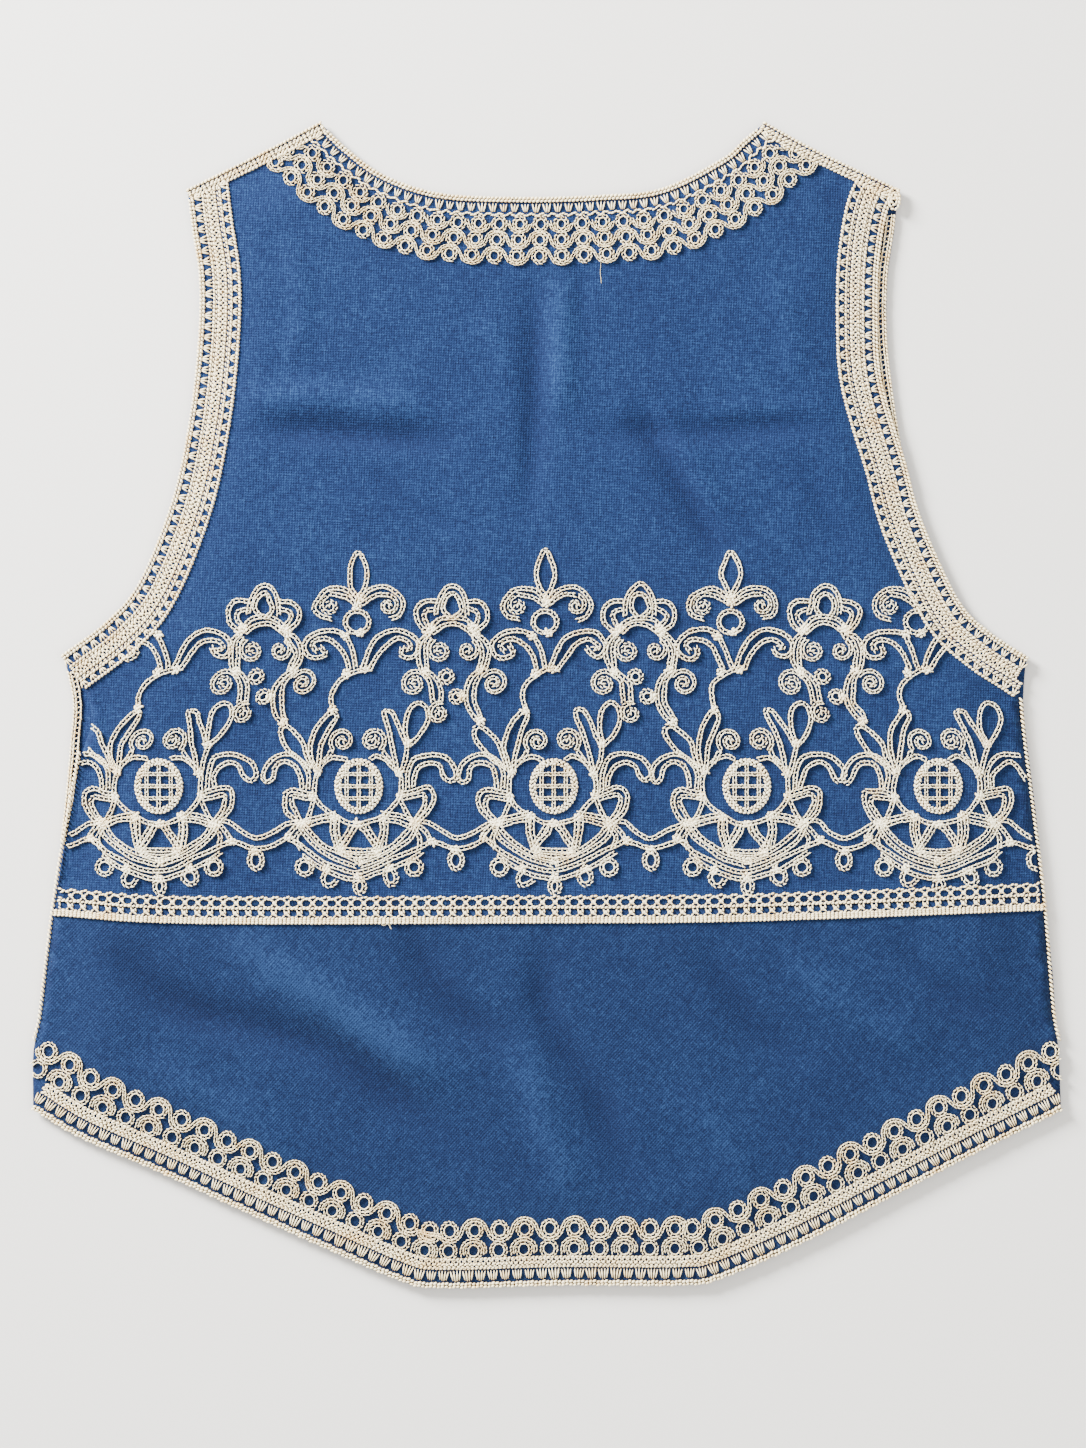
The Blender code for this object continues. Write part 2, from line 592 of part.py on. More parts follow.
def top_of(panels):
    """A search tree over the panels' faces, for heights in millimetres."""
    corners, faces = [], []
    for panel in panels:
        start = len(corners)
        corners.extend(vertex.co / MM for vertex in panel.data.vertices)
        faces.extend([start + v for v in face.vertices] for face in panel.data.polygons)
    return BVHTree.FromPolygons(corners, faces)


def height_on(tree, point):
    """Height of the cloth's top under a flat point, or at its nearest edge."""
    hit = tree.ray_cast(Vector((point[0], point[1], 60.0)), Vector((0.0, 0.0, -1.0)))[0]
    if hit is None:
        hit = tree.find_nearest(Vector((point[0], point[1], CLOTH * 3)))[0]
    return max(hit.z, 2 * CLOTH + GAP)


def lace(name, surface, tree, shapes, cutters=(), within=(), inner_spacing=None):
    """A piece of lace laid on the cloth: the union of its shapes, less what is cut away."""
    outer, holes = joined_loops(shapes, cutters, within)
    inner = []
    if inner_spacing:
        inner = [p for p in grid_inside(outer, inner_spacing, inner_spacing * 0.35)
                 if not any(point_inside(p, np.array([tuple(q) for q in hole])) for hole in holes)]
    spots, triangles = triangulated(outer, holes, inner)
    under = [height_on(tree, p) + GAP for p in spots]
    return wall(name, surface, spots, triangles, under, LACE)


def side_cord(name, surface, path, heights):
    """A twisted cord along a side seam, as a round tube with closed ends."""
    data = bpy.data.curves.new(name, "CURVE")
    data.dimensions = "3D"
    data.bevel_depth = CORD / 2 * MM
    data.bevel_resolution = 2
    data.use_fill_caps = True
    spline = data.splines.new("POLY")
    curve = smooth_curve(path, CORD * 5)
    lengths = arc_lengths(curve)
    levels = np.interp(lengths / lengths[-1], [share for share, _ in heights], [z for _, z in heights])
    spline.points.add(len(curve) - 1)
    for point, place, level in zip(spline.points, curve, levels):
        point.co = (place.x * MM, place.y * MM, level * MM, 1.0)
    data.materials.append(surface)
    made = bpy.data.objects.new(name, data)
    bpy.context.collection.objects.link(made)
    return made


# Cloth panels
linen_top = material("blue_linen_bodice", (0.035, 0.096, 0.266), 0.85)
linen_skirt = material("blue_linen_skirt", (0.032, 0.088, 0.245), 0.85)
linen_front = material("blue_linen_fronts", (0.033, 0.09, 0.25), 0.85)
braid_edge = material("cream_edge_lace", (0.82, 0.74, 0.58), 0.8)
braid_frieze = material("cream_frieze_braid", (0.84, 0.76, 0.6), 0.8)
cord_cream = material("cream_twisted_cord", (0.8, 0.72, 0.56), 0.8)

shoulder_left = smooth_curve(SHOULDER_LEFT, EDGE_STEP)
shoulder_right = smooth_curve(SHOULDER_RIGHT, EDGE_STEP)
armhole_left = smooth_curve(ARMHOLE_LEFT, EDGE_STEP)
armhole_right = smooth_curve(ARMHOLE_RIGHT, EDGE_STEP)
neck = smooth_curve(NECK, EDGE_STEP)
hem = smooth_curve(HEM, EDGE_STEP)
waist = smooth_curve(WAIST, EDGE_STEP)
bodice_left = smooth_curve(BODICE_SIDE_LEFT, EDGE_STEP)
bodice_right = smooth_curve(BODICE_SIDE_RIGHT, EDGE_STEP)
skirt_left = smooth_curve(SKIRT_SIDE_LEFT, EDGE_STEP)
skirt_right = smooth_curve(SKIRT_SIDE_RIGHT, EDGE_STEP)

bodice_foot = beside(waist, GAP / 2)
skirt_head = beside(waist, -GAP / 2)
bodice_outline = (shoulder_left + armhole_left[1:] + bodice_left[1:-1] + bodice_foot
                  + bodice_right[::-1][1:-1] + armhole_right[::-1][:-1] + shoulder_right[::-1]
                  + neck[::-1][1:-1])
skirt_outline = (skirt_left[1:] + hem[1:] + skirt_right[::-1][1:-1] + skirt_head[::-1])
rim = (shoulder_left + armhole_left[1:] + bodice_left[1:-1] + skirt_left + hem[1:]
       + skirt_right[::-1][1:] + bodice_right[::-1] + armhole_right[::-1][:-1] + shoulder_right[::-1]
       + neck[::-1])

back_bodice = back_panel("back_bodice", linen_top, bodice_outline, rim)
back_skirt = back_panel("back_skirt", linen_skirt, skirt_outline, rim)
cloth_top = top_of([back_bodice, back_skirt])

for front_name, shoulder, front_armhole, front_side, front_neck, hem_part in (
        ("front_left", SHOULDER_LEFT, ARMHOLE_LEFT, FRONT_SIDE_LEFT, FRONT_NECK_LEFT,
         [p for p in hem if p.x < -FRONT_OPENING]),
        ("front_right", SHOULDER_RIGHT, FRONT_ARMHOLE_RIGHT, FRONT_SIDE_RIGHT, FRONT_NECK_RIGHT,
         [p for p in hem if p.x > FRONT_OPENING][::-1])):
    edge = smooth_curve(shoulder, EDGE_STEP * 2)
    edge += smooth_curve(front_armhole, EDGE_STEP * 1.5)[1:]
    edge += smooth_curve(front_side, EDGE_STEP * 2)[1:]
    edge += hem_part[1:] + [Vector((front_neck[-1][0], hem_part[-1].y))]
    edge += smooth_curve(front_neck, EDGE_STEP * 2)[::-1][:-1]
    middle = sum(edge, Vector((0.0, 0.0))) / len(edge)
    inset = straightened([p + (middle - p).normalized() * FRONT_INSET for p in edge])
    flat_points, flat_triangles = triangulated(inset)
    wall(front_name, linen_front, flat_points, flat_triangles, [0.0] * len(flat_points), CLOTH)

# Shoulder tapes, armhole and waist bands
tape_left = [convex([a, b, c, d]) for a, b, c, d in zip(
    shoulder_left, shoulder_left[1:], beside(shoulder_left, SHOULDER_TAPE)[1:],
    beside(shoulder_left, SHOULDER_TAPE))]
tape_right = [convex([a, b, c, d]) for a, b, c, d in zip(
    shoulder_right, shoulder_right[1:], beside(shoulder_right, -SHOULDER_TAPE)[1:],
    beside(shoulder_right, -SHOULDER_TAPE))]
tape_curl = disc(TAPE_CURL, *TAPE_CURL_SIZE, turn=TAPE_CURL_TURN)
lace("shoulder_tape_left", braid_edge, cloth_top, tape_left)
lace("shoulder_tape_right", braid_edge, cloth_top, tape_right + [tape_curl])

tape_clear_left = band(lengthened(shoulder_left, TAPE_MARGIN), -TAPE_MARGIN, SHOULDER_TAPE + GAP)
tape_clear_right = band(lengthened(shoulder_right, TAPE_MARGIN), -SHOULDER_TAPE - GAP, TAPE_MARGIN)
curl_clear = [size + GAP for size in TAPE_CURL_SIZE]
tape_clear_right.append(disc(TAPE_CURL, *curl_clear, turn=TAPE_CURL_TURN))

left_band = band(lengthened(armhole_left, 0.1)[:-1], 0.0, ARMHOLE_BAND)
right_band = band(lengthened(armhole_right, 0.1)[:-1], -ARMHOLE_BAND, 0.0)
lace("armhole_lace_left", braid_edge, cloth_top, left_band, tape_clear_left,
     [bodice_outline], BAND_GRID)
lace("armhole_lace_right", braid_edge, cloth_top, right_band, tape_clear_right,
     [bodice_outline], BAND_GRID)

waist_band = band(waist, -WAIST_BAND / 2, WAIST_BAND / 2)
seam_clear = []
for seam in (bodice_left, bodice_right, skirt_left, skirt_right):
    seam_clear += ribbon(seam, 4 * GAP)
lace("waist_lace", braid_edge, cloth_top, waist_band, seam_clear)


# Edge laces with their rings and the gaps between them

def diamonds(places):
    """Four-cornered gaps at the given places along a row."""
    cuts = []
    for centre, along in places:
        across = Vector((-along.y, along.x))
        cuts.append([centre + along * DIAMOND_WIDE / 2, centre + across * DIAMOND_HIGH / 2,
                     centre - along * DIAMOND_WIDE / 2, centre - across * DIAMOND_HIGH / 2])
    return cuts


def halfway(places):
    """The places midway between neighbours of a row."""
    return [((a[0] + b[0]) / 2, (a[1] + b[1]).normalized()) for a, b in zip(places, places[1:])]


neck_edge = lengthened(neck, 6.0)
neck_rows = [spots_along(beside(neck_edge, -depth), NECK_RINGS, 4.0) for depth in NECK_ROWS]
neck_shapes = band(neck_edge, -NECK_ROWS[2] + 0.6, 0.0)
neck_shapes += [disc(centre, NECK_RING_RADIUS, NECK_RING_RADIUS, RING_SIDES) for centre, _ in neck_rows[2]]
neck_cuts = []
for upper, lower in zip(neck_rows, neck_rows[1:]):
    between = [((a[0] + b[0]) / 2, a[1]) for a, b in zip(halfway(upper), halfway(lower))]
    neck_cuts += diamonds(between)
neck_cuts += tape_clear_left + tape_clear_right
lace("neck_lace", braid_edge, cloth_top, neck_shapes, neck_cuts, [bodice_outline])

hem_edge = lengthened(hem, 16.0)
hem_length = arc_lengths(beside(hem_edge, HEM_ROWS[1]))[-1]
hem_count = round(hem_length / HEM_PITCH)
hem_rows = [spots_along(beside(hem_edge, depth), hem_count, 3.0) for depth in HEM_ROWS]
hem_shapes = band(hem_edge, 0.0, HEM_ROWS[1] - 2.6)
hem_shapes += [disc(centre, HEM_RING_RADIUS, HEM_RING_RADIUS, RING_SIDES) for centre, _ in hem_rows[1]]
hem_between = [((a[0] + b[0]) / 2, a[1]) for a, b in zip(halfway(hem_rows[0]), halfway(hem_rows[1]))]
hem_cuts = diamonds(hem_between)
lace("hem_lace", braid_edge, cloth_top, hem_shapes, hem_cuts, [skirt_outline])


# Frieze across the bodice

def frieze_place(repeat, u, v):
    """Where a point of one repeat lies on the cloth; the upper rows are drawn closer together."""
    share = min(max((v - LOWER_ROW) / (UPPER_ROW - LOWER_ROW), 0.0), 1.0)
    middle = LOWER_X[repeat] * (1 - share) + UPPER_X[repeat] * share
    return middle + u, FRIEZE_Y + v


def frieze_shapes(repeat, runs, discs, shift=0.0, grown=0.0):
    """The ribbons, knots and discs of one motif, each grown by a margin."""
    shapes = []
    for width, points in runs:
        placed = [frieze_place(repeat, u + shift, v) for u, v in points]
        curve = smooth_curve(placed, RUN_STEP)
        if grown:
            curve = lengthened(curve, grown)
        shapes += ribbon(curve, width + 2 * grown)
        for end in (placed[0], placed[-1]):
            shapes.append(disc(end, KNOT + grown, KNOT + grown, KNOT_SIDES))
    for u, v, half_width, half_height in discs:
        centre = frieze_place(repeat, u + shift, v)
        shapes.append(disc(centre, half_width + grown, half_height + grown))
    return shapes


field = [bodice_outline]
bounds = band(lengthened(armhole_left, 4.0), -ARMHOLE_BAND, ARMHOLE_BAND + FRIEZE_CLEAR)
bounds += band(lengthened(armhole_right, 4.0), -ARMHOLE_BAND - FRIEZE_CLEAR, ARMHOLE_BAND)
bounds += band(waist, -WAIST_BAND, WAIST_BAND / 2 + FRIEZE_CLEAR)
bounds += ribbon(bodice_left, 2 * FRIEZE_CLEAR)
bounds += ribbon(bodice_right, 2 * FRIEZE_CLEAR)
taken = []
for repeat in range(1, REPEATS + 1):
    shapes = frieze_shapes(repeat, MEDALLION_RUNS, MEDALLION_DISCS)
    lace(f"medallion_{repeat}", braid_frieze, cloth_top, shapes, bounds + taken, field)
    taken += frieze_shapes(repeat, MEDALLION_RUNS, MEDALLION_DISCS, grown=FRIEZE_CLEAR)
for repeat in range(0, REPEATS + 1):
    shapes = frieze_shapes(repeat, SWAG_RUNS, SWAG_DISCS)
    lace(f"swag_{repeat}", braid_frieze, cloth_top, shapes, bounds + taken, field)
for repeat in range(1, REPEATS):
    shapes = frieze_shapes(repeat, CROWN_RUNS, CROWN_DISCS, CROWN_OFFSET)
    lace(f"crown_{repeat}", braid_frieze, cloth_top, shapes, bounds + taken, field)
for repeat in range(1, REPEATS):
    taken += frieze_shapes(repeat, CROWN_RUNS, CROWN_DISCS, CROWN_OFFSET, FRIEZE_CLEAR)
for repeat in range(1, REPEATS + 1):
    shapes = frieze_shapes(repeat, STEM_RUNS, STEM_DISCS)
    if repeat > 1:
        shapes += frieze_shapes(repeat, FLOWER_RUNS, FLOWER_DISCS)
    lace(f"fleur_{repeat}", braid_frieze, cloth_top, shapes, bounds + taken, field)


# Side cords and the front lace that peeps out

def peeping_lace(name, outer_edge, back_edge):
    """A strip of the front's lace between its own edge and the back's edge."""
    outer_points = spots_along(outer_edge, PEEP_SPOTS)
    back_points = spots_along(back_edge, PEEP_SPOTS)
    outer = [place for place, _ in outer_points]
    inner = [place for place, _ in back_points]
    spots, triangles = triangulated(facing_up(outer + inner[::-1]))
    return wall(name, braid_edge, spots, triangles, [CLOTH + GAP] * len(spots), CLOTH)


def stretch(curve, top, bottom):
    """The part of a curve between two levels of y."""
    return [p for p in curve if bottom <= p.y <= top]


fine = EDGE_STEP / 2
right_outer = stretch(smooth_curve(FRONT_ARMHOLE_RIGHT, fine), *PEEP_RIGHT)
right_inner = stretch(beside(smooth_curve(ARMHOLE_RIGHT, fine), PEEP_GAP), *PEEP_RIGHT)
peeping_lace("front_lace_right", right_outer, right_inner)
left_outer = stretch(smooth_curve(FRONT_SIDE_LEFT, fine), *PEEP_LEFT)
left_inner = stretch(beside(smooth_curve(BODICE_SIDE_LEFT, fine), -PEEP_GAP), *PEEP_LEFT)
peeping_lace("front_lace_left", left_outer, left_inner)

low_cord = CLOTH + GAP + CORD / 2
high_cord = low_cord + CLOTH + GAP
left_seam = BODICE_SIDE_LEFT[2:-1] + SKIRT_SIDE_LEFT[0:3]
right_seam = BODICE_SIDE_RIGHT[1:-1] + SKIRT_SIDE_RIGHT[0:3]
left_path = beside(smooth_curve(left_seam, fine), -CORD_OUT)
right_path = beside(smooth_curve(right_seam, fine), CORD_OUT)
side_cord("side_cord_left", cord_cream, left_path[::3],
          [(0.0, high_cord), (CORD_DROP[0], high_cord), (CORD_DROP[1], low_cord), (1.0, low_cord)])
side_cord("side_cord_right", cord_cream, right_path[::3], [(0.0, low_cord), (1.0, low_cord)])
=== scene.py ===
import math

import bpy
import numpy as np
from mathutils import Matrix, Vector, noise
from mathutils.geometry import delaunay_2d_cdt


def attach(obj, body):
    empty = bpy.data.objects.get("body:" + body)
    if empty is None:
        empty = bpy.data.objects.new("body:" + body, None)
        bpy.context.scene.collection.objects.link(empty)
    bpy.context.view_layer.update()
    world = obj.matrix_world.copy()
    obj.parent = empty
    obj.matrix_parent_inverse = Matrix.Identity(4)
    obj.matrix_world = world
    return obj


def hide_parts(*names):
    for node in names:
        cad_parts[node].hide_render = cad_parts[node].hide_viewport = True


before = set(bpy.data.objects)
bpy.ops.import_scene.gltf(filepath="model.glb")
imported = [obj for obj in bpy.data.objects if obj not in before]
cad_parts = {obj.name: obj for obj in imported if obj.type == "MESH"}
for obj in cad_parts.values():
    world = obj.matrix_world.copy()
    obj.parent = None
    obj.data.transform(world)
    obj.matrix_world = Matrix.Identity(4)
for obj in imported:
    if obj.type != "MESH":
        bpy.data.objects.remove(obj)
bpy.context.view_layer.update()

# Back panels
# The back is two pieces of blue slubby linen, the upper on the straight grain, the lower on the bias.
# They are seamed at the waist under a lace band, and lie rumpled on the fronts after many washings.
MM = 0.001
CLOTH_TOP = 2.7         # level of the back over the fronts, where it is flat
SHELL = 0.7             # thickness of the woven cloth
LOFT = 3.0              # how far the cloth rises, away from its edges
LOFT_RUN = 34.0         # how far in from an edge the loft is reached
PANEL_GRID = 4.5        # between the points inside a panel
ROW_SHARE = 0.87        # rows of points are a little closer than columns, for even triangles
WAIST_GAP = 0.3         # between the two panels, under the band
RIPPLE = 0.35           # small unevenness between the folds
RIPPLE_LENGTH = 21.0    # across one ripple
FOLD_TAPER = 4          # a fold dies away over a quarter of its length at each end
NECK = [(-109.2, 278.6), (-95.8, 265.7), (-78.0, 253.2), (-51.6, 244.6), (-13.2, 242.6),
        (25.2, 243.6), (54.5, 246.8), (83.3, 260.9), (94.3, 270.3), (104.4, 278.6)]
SHOULDER_LEFT = [(-109.2, 278.6), (-133.7, 265.7), (-172.6, 246.5)]
SHOULDER_RIGHT = [(104.4, 278.6), (127.9, 265.7), (168.2, 246.5)]
ARMHOLE_LEFT = [(-172.6, 246.5), (-170.2, 227.3), (-166.8, 203.3), (-167.3, 174.5), (-171.6, 136.1),
                (-179.8, 97.7), (-195.1, 59.3), (-210.5, 40.1), (-232.6, 23.3)]
ARMHOLE_RIGHT = [(168.2, 246.5), (162.5, 234.5), (158.7, 210.0), (158.2, 180.0), (159.3, 160.0),
                 (163.4, 142.0), (171.2, 117.0), (179.3, 88.1), (197.0, 49.7), (211.7, 34.5),
                 (230.2, 22.3)]
BODICE_SIDE_LEFT = [(-232.6, 23.3), (-221.0, 4.6), (-218.6, -9.4), (-223.2, -24.0), (-227.6, -47.3),
                    (-231.6, -70.0), (-235.6, -95.0)]
BODICE_SIDE_RIGHT = [(230.2, 22.3), (225.8, 1.7), (227.6, -17.5), (232.4, -55.9), (236.8, -92.4)]
SKIRT_SIDE_LEFT = [(-235.7, -95.4), (-239.4, -125.0), (-242.3, -150.0), (-246.4, -166.0), (-246.6, -194.5)]
SKIRT_SIDE_RIGHT = [(236.9, -92.8), (240.2, -132.7), (241.8, -150.0), (244.8, -164.0), (246.2, -195.1)]
WAIST = [(-235.6, -95.2), (-166.8, -98.9), (1.2, -98.6), (97.0, -97.7), (236.8, -92.6)]
HEM = [(-246.6, -194.5), (-224.4, -207.8), (-186.0, -224.6), (-147.6, -242.4), (-109.2, -259.8),
       (-70.8, -276.5), (-51.6, -280.1), (6.0, -278.8), (63.6, -278.8), (82.8, -275.8),
       (121.2, -259.0), (159.6, -239.2), (198.0, -219.1), (246.2, -195.1)]

# Path of each fold, its height above the loft (a trough is below), half width
FOLDS = [
    # Across the skirt from the upper left, deepest there
    ([(-222, -104), (-176, -144), (-104, -167), (-34, -220)], -3.0, 9.0),
    ([(-157, -108), (-114, -138), (-71, -166), (-34, -184)], 3.4, 10.0),
    ([(-73, -104), (-47, -142), (-17, -166)], -2.4, 8.0),
    ([(-4, -106), (0, -150), (22, -186), (42, -236)], -2.2, 7.5),
    ([(-14, -160), (2, -206), (20, -244)], 2.0, 8.0),
    ([(70, -112), (96, -150), (128, -176)], -1.7, 6.0),
    ([(112, -116), (146, -148), (190, -168)], 1.6, 7.0),
    ([(160, -110), (196, -140), (226, -152)], -1.3, 5.0),
    ([(60, -182), (88, -214), (100, -240)], 1.3, 6.0),
    ([(-196, -170), (-150, -196), (-112, -226)], 1.6, 7.0),
    # Where the vest was folded in four, across and down the back
    ([(-150, 146), (-100, 146), (-52, 140)], 1.8, 7.0),
    ([(-146, 133), (-90, 129), (-40, 125)], -2.5, 6.0),
    ([(12, 129), (80, 131), (146, 135)], -1.7, 6.0),
    ([(-7, 206), (-6, 150), (-9, 84)], -2.1, 5.5),
    ([(7, 206), (7, 136)], 2.1, 6.0),
    # Slanting creases, shallower
    ([(40, 146), (68, 98), (86, 62)], -2.2, 6.0),
    ([(52, 144), (84, 90)], 1.5, 6.0),
    ([(133, 250), (146, 228)], -1.4, 6.0),
    ([(68, 139), (106, 141), (140, 138)], 0.9, 4.0),
    ([(16, 210), (17, 184)], -1.0, 3.0),
    ([(-30, 189), (-17, 153)], 0.9, 3.5),
    ([(-128, 232), (-118, 196), (-121, 158)], 0.9, 4.5),
    ([(-92, 120), (-60, 92), (-34, 84)], -0.9, 4.0),
    ([(104, 206), (118, 176), (116, 150)], 0.9, 5.0),
    ([(124, 116), (132, 92), (150, 70)], -0.9, 4.0),
]

# Small tucks at the left underarm, which reach the edge
TUCKS = [
    ([(-222, 6), (-217, -10), (-211, -26)], 1.3, 2.6),
    ([(-219, -20), (-214, -24), (-209, -39)], 1.0, 2.0),
]


def smooth_curve(points, step=1.5):
    """Points about `step` apart on a smooth curve through the given ones."""
    knots = np.array(points, float)
    padded = np.vstack([2 * knots[0] - knots[1], knots, 2 * knots[-1] - knots[-2]])
    curve = [knots[:1]]
    for before, start, end, after in zip(padded, padded[1:], padded[2:], padded[3:]):
        count = max(1, round(math.dist(start, end) / step))
        t = (np.arange(1, count + 1) / count)[:, None]
        curve.append(0.5 * (2 * start + (end - before) * t
                            + (2 * before - 5 * start + 4 * end - after) * t ** 2
                            + (3 * start - before - 3 * end + after) * t ** 3))
    return np.vstack(curve)


def beside(curve, distance):
    """The curve moved to its left by a distance."""
    along = np.gradient(curve, axis=0)
    along /= np.linalg.norm(along, axis=1)[:, None]
    return curve + np.stack([-along[:, 1], along[:, 0]], axis=1) * distance


def travelled(curve):
    """The distance of each point from the curve's start."""
    return np.concatenate([[0.0], np.cumsum(np.linalg.norm(np.diff(curve, axis=0), axis=1))])


def distance_to(path, xy):
    """How far each point is from a path, and how far along the path its nearest place is."""
    best = np.full(len(xy), np.inf)
    along = np.zeros(len(xy))
    lengths = travelled(path)
    for index, (start, end) in enumerate(zip(path, path[1:])):
        step = end - start
        share = np.clip(((xy - start) @ step) / max(step @ step, 1e-9), 0.0, 1.0)
        away = np.linalg.norm(xy - start - share[:, None] * step, axis=1)
        nearer = away < best
        best[nearer] = away[nearer]
        along[nearer] = ((lengths[index] + share * np.linalg.norm(step)) / lengths[-1])[nearer]
    return best, along


EDGE_STEP = 4.5         # between the points along an edge
FOLD_STEP = 5.0         # and along a fold
TUCK_STEP = 3.0
waist_line = smooth_curve(WAIST, EDGE_STEP)
armhole_left = smooth_curve(ARMHOLE_LEFT, EDGE_STEP)
armhole_right = smooth_curve(ARMHOLE_RIGHT, EDGE_STEP)
bodice_left = smooth_curve(BODICE_SIDE_LEFT, EDGE_STEP)
bodice_right = smooth_curve(BODICE_SIDE_RIGHT, EDGE_STEP)
skirt_left = smooth_curve(SKIRT_SIDE_LEFT, EDGE_STEP)
skirt_right = smooth_curve(SKIRT_SIDE_RIGHT, EDGE_STEP)
neck_line = smooth_curve(NECK, EDGE_STEP)
hem_line = smooth_curve(HEM, EDGE_STEP)
shoulder_left = smooth_curve(SHOULDER_LEFT, EDGE_STEP)
shoulder_right = smooth_curve(SHOULDER_RIGHT, EDGE_STEP)
bodice_outline = np.vstack([
    shoulder_left, armhole_left[1:], bodice_left[1:-1], beside(waist_line, WAIST_GAP / 2),
    bodice_right[::-1][1:-1], armhole_right[::-1][:-1], shoulder_right[::-1], neck_line[::-1][1:-1]])
skirt_outline = np.vstack([
    skirt_left[1:], hem_line[1:], skirt_right[::-1][1:-1], beside(waist_line, -WAIST_GAP / 2)[::-1]])
rim = np.vstack([
    shoulder_left, armhole_left[1:], bodice_left[1:-1], skirt_left, hem_line[1:],
    skirt_right[::-1][1:], bodice_right[::-1], armhole_right[::-1][:-1], shoulder_right[::-1],
    neck_line[::-1]])[::2]
fold_curves = [(smooth_curve(path, FOLD_STEP), height, width) for path, height, width in FOLDS]
tuck_curves = [(smooth_curve(path, TUCK_STEP), height, width) for path, height, width in TUCKS]


def fold_relief(xy, curves=tuple(fold_curves)):
    """Height of the folds alone, each dying away at its ends."""
    relief = np.zeros(len(xy))
    for path, height, half_width in curves:
        near, along = distance_to(path, xy)
        taper = np.clip(np.minimum(along, 1 - along) * FOLD_TAPER, 0.0, 1.0)
        relief += height * taper * np.exp(-(near / half_width) ** 2)
    return relief


def cloth_level(xy):
    """Height of the back's upper face: loft in from the rim, folds, and a little unevenness."""
    away, _ = distance_to(rim, xy)
    share = np.clip(away / LOFT_RUN, 0.0, 1.0)
    fade = share * share * (3 - 2 * share)
    ripple = [noise.noise(Vector((x / RIPPLE_LENGTH, y / RIPPLE_LENGTH, 0.0))) for x, y in xy]
    lift = LOFT + fold_relief(xy) + RIPPLE * np.array(ripple)
    return CLOTH_TOP + np.maximum(lift * fade, 0.0) + fold_relief(xy, tuck_curves)


def inside(xy, outline):
    """Which points are inside a closed outline."""
    result = np.zeros(len(xy), bool)
    for start, end in zip(outline, np.roll(outline, -1, axis=0)):
        spans = (start[1] > xy[:, 1]) != (end[1] > xy[:, 1])
        rise = end[1] - start[1] if end[1] != start[1] else 1e-9
        result ^= spans & (xy[:, 0] < (end[0] - start[0]) * (xy[:, 1] - start[1]) / rise + start[0])
    return result


def cloth_shell(name, outline, grid, level, thickness):
    """A thin closed shell under an outline, its upper face at the level that a function gives."""
    low, high = outline.min(axis=0), outline.max(axis=0)
    columns, rows = np.meshgrid(np.arange(low[0], high[0], grid),
                                np.arange(low[1], high[1], grid * ROW_SHARE))
    columns = columns + (np.arange(len(columns)) % 2)[:, None] * grid / 2
    spots = np.stack([columns.ravel(), rows.ravel()], axis=1)
    away, _ = distance_to(np.vstack([outline, outline[:1]]), spots)
    spots = spots[inside(spots, outline) & (away > grid * 0.5)]
    points = [Vector(p) for p in [*outline, *spots]]
    border = [(i, (i + 1) % len(outline)) for i in range(len(outline))]
    flat, _, triangles, _, _, _ = delaunay_2d_cdt(points, border, [], 0, 1e-5)
    count = len(flat)
    flat = np.array([tuple(p) for p in flat])
    triangles = np.array([tuple(t) for t in triangles])
    triangles = triangles[inside(flat[triangles].mean(axis=1), outline)].tolist()
    top = level(flat)
    vertices = np.vstack([np.column_stack([flat, top]), np.column_stack([flat, top - thickness])]) * MM
    faces, edges = [], set()
    for a, b, c in triangles:
        turn = np.cross(flat[b] - flat[a], flat[c] - flat[a])
        a, b, c = (a, b, c) if turn > 0 else (a, c, b)
        faces += [(a, b, c), (c + count, b + count, a + count)]
        edges.update([(a, b), (b, c), (c, a)])
    faces += [(b, a, a + count, b + count) for a, b in edges if (b, a) not in edges]
    mesh = bpy.data.meshes.new(name)
    mesh.from_pydata(vertices.tolist(), [], faces)
    mesh.polygons.foreach_set("use_smooth", [True] * len(faces))
    # The folds' height goes with the mesh, so the linen can paint light on the ridges and shade in the
    # troughs
    relief = fold_relief(flat)
    mesh.attributes.new("relief", "FLOAT", "POINT").data.foreach_set("value", [*relief, *relief])
    piece = bpy.data.objects.new(name, mesh)
    bpy.context.scene.collection.objects.link(piece)
    return piece


def tone(code):
    """An sRGB hex value as linear red, green, blue and alpha."""
    parts = [int(code[i:i + 2], 16) / 255 for i in (0, 2, 4)]
    return [p / 12.92 if p <= 0.04045 else ((p + 0.055) / 1.055) ** 2.4 for p in parts] + [1.0]


def add(tree, kind, sockets=None, **settings):
    """Adds a node with its settings, and a value or a link for each of the sockets given."""
    node = tree.nodes.new(kind)
    for name, value in settings.items():
        setattr(node, name, value)
    for key, value in (sockets or {}).items():
        if isinstance(value, bpy.types.NodeSocket):
            tree.links.new(value, node.inputs[key])
        else:
            node.inputs[key].default_value = value
    return node


THREAD_PERIOD = 1.2     # drawn about twice as coarse as the real 0.6 mm threads, so that it shows
SLUB_WIDE = 0.55        # a thick place in a thread, across
SLUB_LONG = 4.6         # and along it
FLECK = 0.85            # small pale and dark flecks
BLOOM = 42.0            # worn and faded patches
BLOOM_STRETCH = 1.6     # how much longer they are along the threads
LINEN_MIX = (0.46, 0.42, 0.6, 0.12)     # weights of slubs both ways, flecks and patches
LINEN_STOPS = (0.63, 0.8, 0.98)         # where the deep, middle and pale blue stand in the mix
PAINTED_FOLD_LIGHT = 0.034            # painted light and shade: how much paler a ridge is painted, and a trough darker, for each millimetre
